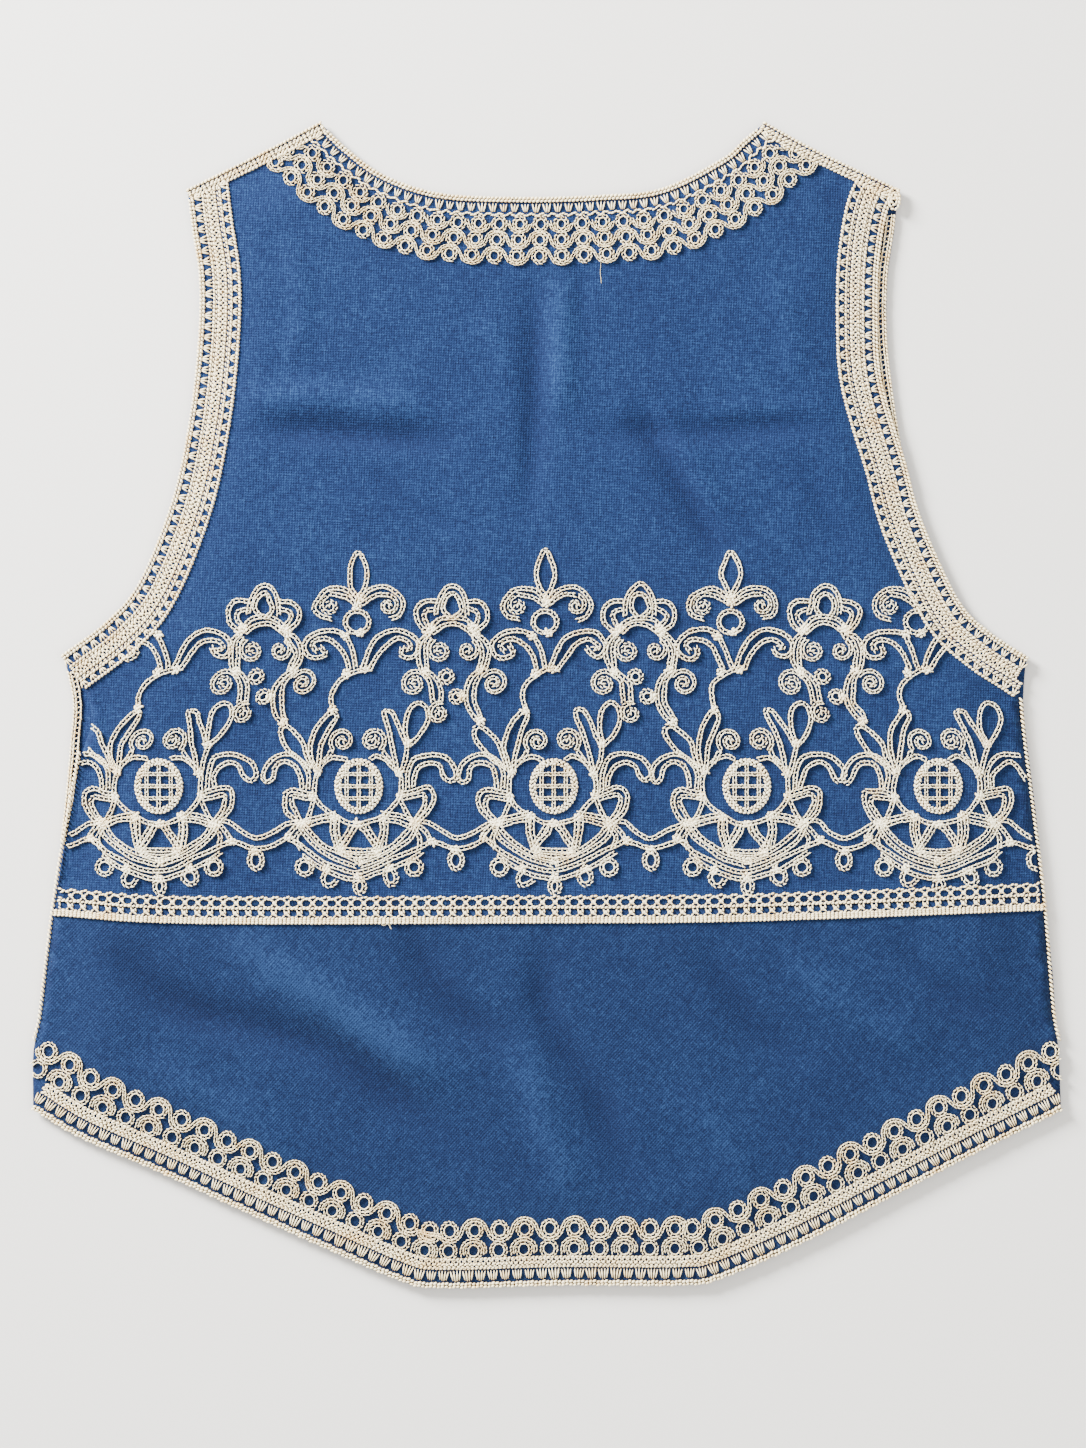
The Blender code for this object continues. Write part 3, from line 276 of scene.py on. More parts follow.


def linen(name, grain, deep, middle, pale):
    """Garment-washed slubby linen in indigo blue: matt, with flecks, pale slubs and faded patches, and
    painted light on the folds' ridges and painted shade in their troughs.
    """
    made = bpy.data.materials.new(name)
    made.use_nodes = True
    tree = made.node_tree
    surface = tree.nodes["Principled BSDF"]
    place = add(tree, "ShaderNodeTexCoord")
    turned = add(tree, "ShaderNodeMapping", {"Vector": place.outputs["Object"],
                                             "Rotation": (0, 0, math.radians(grain))})
    textures = []
    for wide, long, detail in ((SLUB_WIDE, SLUB_LONG, 2.0), (SLUB_LONG, SLUB_WIDE, 2.0),
                               (FLECK, FLECK, 3.0), (BLOOM, BLOOM * BLOOM_STRETCH, 3.0)):
        scaled = add(tree, "ShaderNodeMapping", {
            "Vector": turned.outputs[0],
            "Scale": (1 / (wide * MM), 1 / (long * MM), 1 / (SLUB_LONG * MM))})
        textures.append(add(tree, "ShaderNodeTexNoise", {
            "Vector": scaled.outputs[0], "Scale": 1.0, "Detail": detail, "Roughness": 0.6}))
    total = None
    for texture, weight in zip(textures, LINEN_MIX):
        part = add(tree, "ShaderNodeMath", {0: texture.outputs["Fac"], 1: weight}, operation="MULTIPLY")
        if total is None:
            total = part
        else:
            total = add(tree, "ShaderNodeMath", {0: total.outputs[0], 1: part.outputs[0]}, operation="ADD")
    # Painted light and shade: the folds' ridges are made paler and their troughs darker
    relief = add(tree, "ShaderNodeAttribute", attribute_name="relief")
    fold_painted = add(tree, "ShaderNodeMath", {0: relief.outputs["Fac"], 1: PAINTED_FOLD_LIGHT, 2: total.outputs[0]},
               operation="MULTIPLY_ADD")
    ramp = add(tree, "ShaderNodeValToRGB", {"Fac": fold_painted.outputs[0]})
    ramp.color_ramp.elements[0].position = LINEN_STOPS[0]
    ramp.color_ramp.elements[0].color = tone(deep)
    ramp.color_ramp.elements[1].position = LINEN_STOPS[2]
    ramp.color_ramp.elements[1].color = tone(pale)
    ramp.color_ramp.elements.new(LINEN_STOPS[1]).color = tone(middle)
    threads = []
    for direction in ("X", "Y"):
        threads.append(add(tree, "ShaderNodeTexWave", {
            "Vector": turned.outputs[0], "Scale": 2 * math.pi / (20 * THREAD_PERIOD * MM),
            "Distortion": 1.6, "Detail": 2.0}, wave_type="BANDS", bands_direction=direction))
    weave = add(tree, "ShaderNodeMath", {0: threads[0].outputs["Fac"], 1: threads[1].outputs["Fac"]},
                operation="MULTIPLY")
    height = add(tree, "ShaderNodeMath", {0: weave.outputs[0], 1: total.outputs[0]}, operation="ADD")
    bump = add(tree, "ShaderNodeBump", {"Height": height.outputs[0], "Distance": 0.35 * MM,
                                        "Strength": 0.55})
    tree.links.new(ramp.outputs["Color"], surface.inputs["Base Color"])
    tree.links.new(bump.outputs["Normal"], surface.inputs["Normal"])
    surface.inputs["Roughness"].default_value = 0.88
    surface.inputs["Sheen Weight"].default_value = 0.03
    surface.inputs["Sheen Roughness"].default_value = 0.5
    surface.inputs["Specular IOR Level"].default_value = 0.12
    return made


back_bodice = cloth_shell("linen_back_bodice", bodice_outline, PANEL_GRID, cloth_level, SHELL)
back_bodice.data.materials.append(linen("washed_linen_straight_grain", 2.0, "061331", "0d1f41", "1d365b"))
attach(back_bodice, "root")
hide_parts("back_bodice")
back_skirt = cloth_shell("linen_back_skirt", skirt_outline, PANEL_GRID, cloth_level, SHELL)
back_skirt.data.materials.append(linen("washed_linen_bias", 43.0, "05112d", "0b1c3b", "1a3052"))
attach(back_skirt, "root")
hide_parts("back_skirt")

# Fronts
# Two plain fronts in the same linen lie flat on the table under the back, with their edges level with it.
# Only a narrow strip of each shows, at the right armhole and below the left one.
FRONT_TOP = 1.2         # a front's thickness
FRONT_GRID = 12.0       # between the points inside it
FRONT_STEP = 8.0        # and along its edge
FRONT_INSET = 0.7       # how far it is drawn in from the lace's outer edge
FRONT_OPENING = 7.5     # the hem is followed up to this far from the middle
FRONT_ARMHOLE_RIGHT = [(168.2, 246.5), (166.3, 227.3), (163.0, 203.3), (163.0, 174.5), (166.3, 145.7),
                       (171.2, 117.0), (179.3, 88.1), (197.0, 49.7), (211.7, 34.5), (230.2, 22.3)]
FRONT_SIDE_LEFT = [(-232.6, 23.3), (-227.9, 1.7), (-228.9, -17.5), (-231.9, -50.0), (-237.4, -94.3),
                   (-242.6, -132.7), (-245.6, -160.0), (-246.6, -194.5)]
FRONT_SIDE_RIGHT = [(230.2, 22.3), (228.8, 1.7), (230.6, -17.5), (235.4, -55.9), (240.0, -103.0),
                    (243.1, -132.7), (244.8, -164.0), (246.2, -195.1)]
FRONT_NECK = [(-109.2, 278.0), (-91.0, 236.0), (-60.0, 160.0), (-25.0, 88.0), (-7.0, 62.0)]
FRONT_NECK_RIGHT = [(104.4, 278.0), (88.0, 236.0), (60.0, 160.0), (25.0, 88.0), (6.0, 62.0)]


def front_outline(shoulder, armhole, side, neck, hem_part):
    """The outline of one front, drawn in a little from the lace's outer edge."""
    edge = np.vstack([smooth_curve(shoulder, FRONT_STEP), smooth_curve(armhole, FRONT_STEP)[1:],
                      smooth_curve(side, FRONT_STEP)[1:], hem_part[1:],
                      [(neck[-1][0], hem_part[-1][1])], smooth_curve(neck, FRONT_STEP)[::-1][:-1]])
    inward = edge.mean(axis=0) - edge
    return edge + inward / np.linalg.norm(inward, axis=1)[:, None] * FRONT_INSET


def front_level(xy):
    return np.full(len(xy), FRONT_TOP)


front_linen = linen("washed_linen_fronts", 2.0, "061331", "0d1f41", "1d365b")
fronts, front_cuts = [], []
for front_name, *edges in (
        ("front_left", SHOULDER_LEFT, ARMHOLE_LEFT, FRONT_SIDE_LEFT, FRONT_NECK,
         hem_line[hem_line[:, 0] < -FRONT_OPENING]),
        ("front_right", SHOULDER_RIGHT, FRONT_ARMHOLE_RIGHT, FRONT_SIDE_RIGHT, FRONT_NECK_RIGHT,
         hem_line[hem_line[:, 0] > FRONT_OPENING][::-1])):
    outline = front_outline(*edges)
    front = cloth_shell("linen_" + front_name, outline, FRONT_GRID, front_level, FRONT_TOP)
    front.data.materials.append(front_linen)
    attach(front, "root")
    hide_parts(front_name)
    fronts.append(front)
    front_cuts.append(outline)

# Frieze braid
# A flat cotton lacet braid, plaited with two plump edges and a row of small holes along its middle.
# It is bent by hand into leaves, scrolls, rings and baskets, and sewn down where its runs meet.
SIDES = 6               # of the oval foot of a stitch
KINDS = {
    # Centre along and across the run, half length, half width, height, turn in degrees
    "bead": [(0.0, 0.0, 1.15, 0.62, 1.1, 22)],
    "cable": [(0.0, 1.0, 1.15, 0.45, 1.3, 9), (0.8, -1.0, 1.15, 0.45, 1.3, -9)],
    "fan": [(-1.15, 0.0, 0.46, 1.95, 1.1, 24), (0.0, 0.0, 0.44, 1.95, 1.2, 3),
        (1.15, 0.0, 0.46, 1.95, 1.1, -24)],
    "knit": [(-0.45, 0.55, 0.42, 1.1, 1.2, 38), (0.45, 0.55, 0.42, 1.1, 1.2, -38),
        (0.9, -0.75, 0.42, 1.0, 1.1, 30), (-0.9, -0.75, 0.42, 1.0, 1.1, -30)],
    "loops": [(-1.15, 0.0, 0.42, 2.6, 1.0, 15), (0.0, 0.0, 0.4, 2.6, 1.2, -3),
        (1.15, 0.0, 0.42, 2.6, 1.0, -15)],
    "plait": [(0.0, 0.66, 1.2, 0.62, 1.3, 38), (1.0, -0.66, 1.2, 0.62, 1.3, -38)],
    "post": [(0.0, 0.0, 0.55, 1.5, 1.1, 8)],
    "rung": [(0.0, 0.0, 0.34, 0.95, 0.8, 14)],
    "sheaf": [(-1.8, 0.1, 0.4, 1.95, 1.0, 17), (-0.62, 0.0, 0.38, 2.1, 1.2, 6),
        (0.62, 0.0, 0.38, 2.1, 1.2, -6), (1.8, 0.1, 0.4, 1.95, 1.0, -17)],
    "twist": [(0.0, 0.0, 1.65, 0.66, 2.4, 40)],
}
KIND_NUMBER = {name: number for number, name in enumerate(sorted(KINDS))}


def stitch_shape(name, blobs):
    """One repeat of a stitch, as plump ovals with flat undersides."""
    points, faces, rise = [], [], []
    for along, across, half_along, half_across, height, turn in blobs:
        start = len(points)
        cosine, sine = math.cos(math.radians(turn)), math.sin(math.radians(turn))
        for level, share in ((0.0, 1.0), (0.7, 0.76)):
            for side in range(SIDES):
                angle = 2 * math.pi * side / SIDES
                a = half_along * share * math.cos(angle)
                b = half_across * share * math.sin(angle)
                points.append(((along + a * cosine - b * sine) * MM, (across + a * sine + b * cosine) * MM,
                               height * level * MM))
                rise.append(level)
        points.append((along * MM, across * MM, height * MM))
        rise.append(1.0)
        faces.append(tuple(range(start + SIDES - 1, start - 1, -1)))
        for side in range(SIDES):
            onward = (side + 1) % SIDES
            faces.append((start + side, start + onward, start + SIDES + onward, start + SIDES + side))
            faces.append((start + SIDES + side, start + SIDES + onward, start + 2 * SIDES))
    mesh = bpy.data.meshes.new(name)
    mesh.from_pydata(points, [], faces)
    mesh.polygons.foreach_set("use_smooth", [True] * len(faces))
    # rise runs from 0 at a stitch's foot to 1 at its top; the cotton uses it to paint shade low down and a
    # highlight on top
    mesh.attributes.new("rise", "FLOAT", "POINT").data.foreach_set("value", rise)
    return bpy.data.objects.new(name, mesh)


stitches = bpy.data.collections.new("stitches")
for kind in sorted(KINDS):
    stitches.objects.link(stitch_shape(kind, KINDS[kind]))


def stitch_layer():
    """A Geometry Nodes tree that lays stitches along runs of thread, each at its own pitch and width."""
    tree = bpy.data.node_groups.new("lay_stitches", "GeometryNodeTree")
    tree.interface.new_socket("Runs", in_out="INPUT", socket_type="NodeSocketGeometry")
    tree.interface.new_socket("Stitches", in_out="INPUT", socket_type="NodeSocketCollection")
    tree.interface.new_socket("Sway", in_out="INPUT", socket_type="NodeSocketFloat")
    tree.interface.new_socket("Uneven", in_out="INPUT", socket_type="NodeSocketFloat")
    tree.interface.new_socket("Seed", in_out="INPUT", socket_type="NodeSocketInt")
    tree.interface.new_socket("Thread", in_out="INPUT", socket_type="NodeSocketMaterial")
    tree.interface.new_socket("Lace", in_out="OUTPUT", socket_type="NodeSocketGeometry")
    given = add(tree, "NodeGroupInput").outputs
    carried = {}
    for name, data_type in (("pitch", "FLOAT"), ("wide", "FLOAT"), ("high", "FLOAT"), ("kind", "INT")):
        reader = add(tree, "GeometryNodeInputNamedAttribute", {"Name": name}, data_type=data_type)
        carried[name] = reader.outputs["Attribute"]
    run = add(tree, "GeometryNodeMeshToCurve", {"Mesh": given["Runs"]})
    spaced = add(tree, "GeometryNodeResampleCurve", {"Curve": run.outputs[0], "Length": carried["pitch"]},
                 mode="LENGTH")
    shapes = add(tree, "GeometryNodeCollectionInfo", {
        "Collection": given["Stitches"], "Separate Children": True, "Reset Children": True})
    ahead = add(tree, "GeometryNodeInputTangent")
    facing = add(tree, "FunctionNodeAlignRotationToVector", {"Vector": ahead.outputs[0]},
                 axis="X", pivot_axis="Z")
    left = add(tree, "ShaderNodeMath", {0: given["Sway"], 1: -1.0}, operation="MULTIPLY")
    turn = add(tree, "FunctionNodeRandomValue", {
        "Min": left.outputs[0], "Max": given["Sway"], "Seed": given["Seed"]}, data_type="FLOAT")
    swing = add(tree, "ShaderNodeCombineXYZ", {"Z": turn.outputs[1]})
    swung = add(tree, "FunctionNodeEulerToRotation", {0: swing.outputs[0]})
    turned = add(tree, "FunctionNodeRotateRotation", {
        "Rotation": facing.outputs[0], "Rotate By": swung.outputs[0]}, rotation_space="LOCAL")
    least = add(tree, "ShaderNodeMath", {0: 1.0, 1: given["Uneven"]}, operation="SUBTRACT")
    most = add(tree, "ShaderNodeMath", {0: 1.0, 1: given["Uneven"]}, operation="ADD")
    later = add(tree, "ShaderNodeMath", {0: given["Seed"], 1: 1.0}, operation="ADD")
    swell = add(tree, "FunctionNodeRandomValue", {
        "Min": least.outputs[0], "Max": most.outputs[0], "Seed": later.outputs[0]}, data_type="FLOAT")
    across = add(tree, "ShaderNodeMath", {0: swell.outputs[1], 1: carried["wide"]}, operation="MULTIPLY")
    upward = add(tree, "ShaderNodeMath", {0: swell.outputs[1], 1: carried["high"]}, operation="MULTIPLY")
    size = add(tree, "ShaderNodeCombineXYZ", {
        "X": swell.outputs[1], "Y": across.outputs[0], "Z": upward.outputs[0]})
    laid = add(tree, "GeometryNodeInstanceOnPoints", {
        "Points": spaced.outputs[0], "Instance": shapes.outputs[0], "Pick Instance": True,
        "Instance Index": carried["kind"], "Rotation": turned.outputs[0], "Scale": size.outputs[0]})
    shade = add(tree, "FunctionNodeRandomValue", {"Min": 0.0, "Max": 1.0, "Seed": given["Seed"]},
                data_type="FLOAT")
    marked = add(tree, "GeometryNodeStoreNamedAttribute", {
        "Geometry": laid.outputs[0], "Name": "shade", "Value": shade.outputs[1]},
        data_type="FLOAT", domain="INSTANCE")
    real = add(tree, "GeometryNodeRealizeInstances", {"Geometry": marked.outputs[0]})
    coloured = add(tree, "GeometryNodeSetMaterial", {
        "Geometry": real.outputs[0], "Material": given["Thread"]})
    add(tree, "NodeGroupOutput", {"Lace": coloured.outputs[0]})
    return tree


lay_stitches = stitch_layer()


def run(path, kind, pitch, wide=1.0, high=1.0, closed=False, level=None, above=0.0):
    """One run of stitches: its path, and the kind, pitch and size of the stitch."""
    path = np.array(path, float)
    heights = cloth_level(path[:, :2]) if level is None else np.full(len(path), level)
    return {"path": np.column_stack([path[:, :2], heights + above]), "kind": KIND_NUMBER[kind],
            "pitch": pitch, "wide": wide, "high": high, "closed": closed}


EDGE_PITCH = 1.6        # between the stitches of a braid's edges
HOLE_PITCH = 2.45       # between the rungs along its middle


def braid(path, closed=False, wide=1.0, high=1.0, level=None, above=0.0):
    """One run of braid: its two plump edges, and the rungs between its holes."""
    return [run(path, "cable", EDGE_PITCH, wide, high, closed, level, above),
            run(path, "rung", HOLE_PITCH, wide, high, closed, level, above)]


def lace_piece(name, runs, thread, node, seed, sway=0.09, uneven=0.1):
    """Lays stitches along the runs and makes one plain mesh, which stands for a node."""
    points, edges, columns = [], [], {"pitch": [], "wide": [], "high": [], "kind": []}
    for one in runs:
        start, count = len(points), len(one["path"])
        points.extend((one["path"] * MM).tolist())
        edges.extend((start + i, start + i + 1) for i in range(count - 1))
        if one["closed"]:
            edges.append((start + count - 1, start))
        for key in columns:
            value = one[key] * MM if key == "pitch" else one[key]
            columns[key].extend([value] * count)
    mesh = bpy.data.meshes.new(name + "_runs")
    mesh.from_pydata(points, edges, [])
    for key, values in columns.items():
        layer = mesh.attributes.new(key, "INT" if key == "kind" else "FLOAT", "POINT")
        layer.data.foreach_set("value", values)
    holder = bpy.data.objects.new(name + "_runs", mesh)
    bpy.context.scene.collection.objects.link(holder)
    layer = holder.modifiers.new("stitches", "NODES")
    layer.node_group = lay_stitches
    wanted = {"Stitches": stitches, "Sway": sway, "Uneven": uneven, "Seed": seed, "Thread": thread}
    for socket in lay_stitches.interface.items_tree:
        if socket.in_out == "INPUT" and socket.name in wanted:
            layer[socket.identifier] = wanted[socket.name]
    result = bpy.data.meshes.new_from_object(
        holder.evaluated_get(bpy.context.evaluated_depsgraph_get()))
    bpy.data.objects.remove(holder)
    result.name = name
    piece = bpy.data.objects.new(name, result)
    bpy.context.scene.collection.objects.link(piece)
    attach(piece, "root")
    if node:
        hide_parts(node)
    return piece


COTTON_STOPS = (0.26, 0.58, 0.88)       # where the tan of painted shade, the cream, and the painted highlight of the tops stand in the mix


def cotton(name, shade_tan, body, highlight_cream, stain):
    """Boiled cotton braid, hand plaited: soft and matt, with painted shade in tan between its stitches and a
    painted highlight in cream on their tops.
    """
    made = bpy.data.materials.new(name)
    made.use_nodes = True
    tree = made.node_tree
    surface = tree.nodes["Principled BSDF"]
    place = add(tree, "ShaderNodeTexCoord")
    rise = add(tree, "ShaderNodeAttribute", attribute_name="rise")
    shade = add(tree, "ShaderNodeAttribute", attribute_name="shade")
    fibre = add(tree, "ShaderNodeTexNoise", {
        "Vector": place.outputs["Object"], "Scale": 1 / (0.7 * MM), "Detail": 3.0, "Roughness": 0.65})
    patch = add(tree, "ShaderNodeTexNoise", {
        "Vector": place.outputs["Object"], "Scale": 1 / (11 * MM), "Detail": 4.0, "Roughness": 0.6})
    # Painted shade and highlight: a stitch is tan at its foot and palest on its top
    rise_shading = add(tree, "ShaderNodeMath", {0: rise.outputs["Fac"], 1: 0.62, 2: 0.02},
                   operation="MULTIPLY_ADD")
    varied = add(tree, "ShaderNodeMath", {0: shade.outputs["Fac"], 1: 0.16, 2: rise_shading.outputs[0]},
                 operation="MULTIPLY_ADD")
    mixed = add(tree, "ShaderNodeMath", {0: fibre.outputs["Fac"], 1: 0.3, 2: varied.outputs[0]},
                operation="MULTIPLY_ADD")
    ramp = add(tree, "ShaderNodeValToRGB", {"Fac": mixed.outputs[0]})
    ramp.color_ramp.elements[0].position = COTTON_STOPS[0]
    ramp.color_ramp.elements[0].color = tone(shade_tan)
    ramp.color_ramp.elements[1].position = COTTON_STOPS[2]
    ramp.color_ramp.elements[1].color = tone(highlight_cream)
    ramp.color_ramp.elements.new(COTTON_STOPS[1]).color = tone(body)
    spots = add(tree, "ShaderNodeMapRange", {
        "Value": patch.outputs["Fac"], "From Min": 0.5, "From Max": 0.72, "To Min": 0.0, "To Max": 0.6})
    tinted = add(tree, "ShaderNodeMix", {0: spots.outputs[0], 6: ramp.outputs["Color"], 7: tone(stain)},
                 data_type="RGBA", blend_type="MULTIPLY")
    bump = add(tree, "ShaderNodeBump", {"Height": fibre.outputs["Fac"], "Distance": 0.25 * MM,
                                        "Strength": 0.5})
    tree.links.new(tinted.outputs[2], surface.inputs["Base Color"])
    tree.links.new(bump.outputs["Normal"], surface.inputs["Normal"])
    surface.inputs["Roughness"].default_value = 0.82
    surface.inputs["Sheen Weight"].default_value = 0.1
    surface.inputs["Specular IOR Level"].default_value = 0.3
    return made


BRAID = 2.4             # one run of the frieze's braid
BRAID_WIDE = 0.8        # the frieze's braid against the width of the stitch shapes
COIL_WIDE = 0.72        # the same for a coil
KNOT = 2.0              # radius of the small disc where runs meet
KNOT_PITCH = 1.1        # between its turns
KNOT_END = 0.3          # radius at which they stop
COIL_PITCH = 3.3        # between the turns of a coil
COIL_END = 0.8          # radius at which it stops
ARMHOLE_BAND = 19.7     # width of the armhole laces
WAIST_BAND = 13.5       # width of the waist lace
UNDER_BAND = 1.6        # how far the frieze runs on below the armhole bands
LOWER_X = [-281.4, -186.1, -90.3, 3.0, 95.4, 187.1, 280.0]      # blossoms, with one beyond each side
UPPER_X = [-266.9, -177.0, -87.1, 2.8, 91.6, 181.0, 270.0]      # fleurs, drawn closer together
FRIEZE_Y = -39.6        # level of the blossoms' middles
LOWER_ROW = 20.0        # height in the repeat below which the blossoms' places hold
UPPER_ROW = 60.0        # height above which the fleurs' places hold
LAYER_RISE = 0.2        # between the three levels that crossing runs take in turn
JITTER = 0.3            # how far the hand strays from the pattern

# Paths in one repeat, from the blossom's centre: u to the right, v up
MEDALLION = {
    "wreath, left": [(-5.6, 12.9), (-9.6, 14.2), (-13.6, 13.2), (-17.4, 10.2), (-20.2, 5.6), (-21.4, 0.4),
        (-20.8, -5.0), (-16.8, -10.6), (-11.0, -14.2), (-5.6, -17.2), (0.0, -18.2)],
    "wreath, right": [(5.6, 12.9), (8.6, 14.2), (12.2, 13.2), (16.2, 10.0), (19.4, 5.6), (20.0, 0.4),
        (19.6, -5.0), (16.2, -10.0), (11.4, -14.6), (5.6, -17.2), (0.0, -18.2)],
    "tail, left": [(-13.0, 16.6), (-14.2, 14.4), (-16.2, 11.8)],
    "tail, right": [(11.4, 17.0), (12.8, 14.4), (15.2, 11.6)],
    "inner leaf, left": [(-20.6, 7.4), (-22.6, 13.0), (-23.4, 19.0), (-21.4, 26.8), (-17.6, 33.0),
        (-13.8, 36.0), (-12.0, 33.4), (-15.4, 27.0), (-17.8, 19.6), (-19.0, 13.0), (-19.4, 7.4)],
    "outer leaf, left": [(-22.4, 9.6), (-25.0, 15.0), (-27.0, 20.6), (-31.0, 25.8), (-35.4, 29.0),
        (-38.2, 27.2), (-37.4, 22.8), (-33.8, 17.4), (-28.6, 13.0), (-23.4, 8.6)],
    "inner leaf, right": [(18.6, 6.6), (17.6, 13.4), (14.2, 24.8), (11.2, 32.4), (10.8, 36.0), (14.0, 35.6),
        (17.0, 31.0), (20.4, 25.0), (22.4, 20.6)],
    "stalk, right": [(20.4, 6.0), (22.0, 12.8), (23.4, 20.0)],
    "outer leaf, right": [(23.4, 20.4), (21.4, 27.6), (22.6, 35.6), (26.4, 39.8), (30.4, 38.0), (31.8, 32.0),
        (28.6, 24.8), (24.6, 20.4)],
    "hook, left": [(-27.4, -1.0), (-27.6, 4.0), (-30.4, 9.4), (-35.2, 11.6), (-39.4, 8.9), (-41.0, 3.6),
        (-43.6, 1.8), (-45.6, 4.4), (-44.4, 9.4), (-39.8, 13.8), (-33.6, 15.4), (-27.6, 12.6), (-24.2, 6.6),
        (-24.6, -0.8)],
    "hook, right": [(26.3, -0.2), (26.4, 4.1), (28.8, 8.7), (33.6, 11.3), (38.4, 9.7), (40.6, 5.4),
        (43.6, 2.2), (46.4, 4.6), (46.0, 8.6), (42.4, 12.8), (36.6, 15.1), (30.4, 14.9), (26.2, 12.5),
        (23.6, 6.5), (23.2, -0.8)],
    "handle, left": [(-22.0, -3.8), (-26.4, -2.8), (-31.0, -1.8), (-34.6, -2.6), (-35.8, -6.6),
        (-34.4, -11.4), (-31.4, -15.4), (-28.6, -18.0)],
    "handle inside, left": [(-21.4, -6.4), (-26.6, -5.6), (-31.2, -5.2), (-32.4, -8.2), (-31.0, -12.0),
        (-28.0, -16.2)],
    "handle, right": [(20.6, -3.6), (25.4, -2.2), (30.4, -0.6), (34.2, -1.6), (35.4, -6.0), (33.8, -11.4),
        (30.2, -15.8), (27.4, -18.0)],
    "handle inside, right": [(21.0, -6.2), (26.2, -4.8), (30.6, -3.8), (32.0, -7.0), (30.6, -11.6),
        (27.2, -16.2)],
    "brace, left": [(-21.2, -6.0), (-23.0, -11.6), (-25.4, -16.6)],
    "brace, right": [(19.8, -6.0), (22.6, -11.6), (25.6, -16.6)],
    "tie, left": [(-25.6, -16.2), (-19.0, -14.6), (-12.6, -13.2)],
    "second tie, left": [(-25.0, -19.0), (-18.6, -17.2), (-12.4, -15.8)],
    "tie, right": [(25.6, -16.2), (19.2, -14.2), (12.4, -13.4)],
    "second tie, right": [(25.0, -19.0), (18.6, -16.8), (12.4, -16.0)],
    "basket side, left": [(-28.6, -19.0), (-25.2, -25.0), (-19.2, -30.2), (-12.0, -34.6), (-2.0, -37.6)],
    "second side, left": [(-25.8, -19.0), (-22.4, -23.6), (-17.0, -28.2), (-10.6, -31.8), (-2.0, -35.0)],
    "basket side, right": [(28.4, -19.0), (24.8, -24.8), (18.4, -29.8), (11.0, -34.0), (2.0, -37.4)],
    "second side, right": [(25.6, -19.2), (22.0, -23.4), (16.4, -27.8), (9.6, -31.6), (2.0, -34.8)],
    "rib, left": [(-12.6, -15.4), (-12.4, -22.0), (-10.4, -29.4)],
    "second rib, left": [(-10.0, -15.4), (-10.0, -22.0), (-8.4, -28.8)],
    "rib, right": [(12.8, -15.6), (13.2, -22.0), (11.6, -29.0)],
    "second rib, right": [(10.4, -15.6), (10.8, -22.0), (9.4, -28.6)],
    "fork, left": [(-1.8, -19.2), (-3.2, -22.0), (-6.2, -26.6), (-8.8, -30.0)],
    "second fork, left": [(-3.6, -18.6), (-5.2, -21.8), (-8.0, -26.0), (-10.0, -29.0)],
    "fork, right": [(1.4, -19.2), (3.4, -22.0), (6.6, -26.6), (9.2, -30.0)],
    "second fork, right": [(3.4, -18.6), (5.4, -21.8), (8.4, -26.0), (10.4, -29.0)],
    "basket foot": [(-9.0, -30.2), (0.0, -31.0), (9.0, -30.2)],
    "second foot": [(-9.0, -32.6), (0.0, -33.6), (9.0, -32.6)],
    "upper rim": [(-33.4, -24.8), (-29.0, -28.0), (-24.0, -31.6), (-16.8, -36.2), (-9.0, -39.4),
        (-1.4, -40.8), (7.4, -39.0), (16.8, -34.8), (24.4, -31.2), (30.0, -28.8), (34.6, -26.4)],
    "lower rim": [(-27.0, -33.0), (-19.8, -38.2), (-11.4, -42.0), (-4.6, -44.0), (1.5, -44.4), (8.0, -42.8),
        (16.0, -39.2), (24.0, -35.4), (29.0, -32.0)],
    "corner, left": [(-29.6, -18.6), (-32.6, -22.6), (-33.8, -25.4)],
    "second corner, left": [(-27.2, -20.4), (-29.6, -24.6), (-28.2, -28.6)],
    "corner, right": [(28.6, -18.4), (32.4, -22.6), (34.8, -26.2)],
    "second corner, right": [(26.6, -20.0), (29.4, -24.2), (28.8, -28.4)],
    "drop hook": [(-15.0, -40.4), (-17.2, -43.6), (-16.2, -47.0), (-13.0, -47.4), (-11.2, -45.4)],
    "drop leaf": [(12.6, -40.2), (11.6, -43.0), (14.2, -47.0), (17.6, -46.0), (17.8, -42.4), (16.0, -40.0)],
}
# Centre, half width, half height of closed rings
MEDALLION_RINGS = [(-26.0, -38.8, 3.4, 3.4), (26.4, -38.8, 3.4, 3.4), (0.4, -48.0, 2.2, 3.2)]
# Centre, outer radius, start in degrees, hand
MEDALLION_COILS = [(-8.0, 21.6, 7.2, 225, -1), (6.5, 21.9, 7.2, 315, 1)]
MEDALLION_KNOTS = [(-20.2, 6.8), (19.4, 6.2), (-21.4, -4.8), (20.0, -4.8), (-11.2, -14.6), (11.4, -14.8),
                   (-28.0, -17.6), (27.8, -17.4), (-25.8, -17.4), (25.8, -17.4), (-33.4, -25.0),
                   (35.0, -26.4), (23.4, 20.2), (0.0, -43.2), (0.0, -18.2),
                   (-8.4, -31.0), (8.6, -31.0), (0.0, -36.2), (-15.6, -39.6), (14.6, -39.6)]
BLOSSOM = (12.1, 13.8)  # half width and half height
BLOSSOM_RIM = 3.7
BLOSSOM_BARS = (-5.8, 0.0, 5.8)
BAR_LAP = 0.8           # how far the bars run under the rim
BAR_WIDE = 0.64
BAR_HIGH = 0.9
BAR_RISE = 0.25         # how far the level bars lie above the upright ones

SWAG = {
    "upper": [(28.6, -16.4), (33.9, -17.0), (39.9, -22.0), (46.9, -25.0), (54.3, -22.3), (60.9, -18.4),
        (66.0, -17.2)],
    "lower": [(35.0, -26.4), (38.7, -27.3), (45.9, -29.7), (53.1, -28.9), (59.9, -25.6)],
}
SWAG_RINGS = [(46.5, -35.4, 3.0, 4.1)]
SWAG_KNOTS = [(46.5, -30.4)]

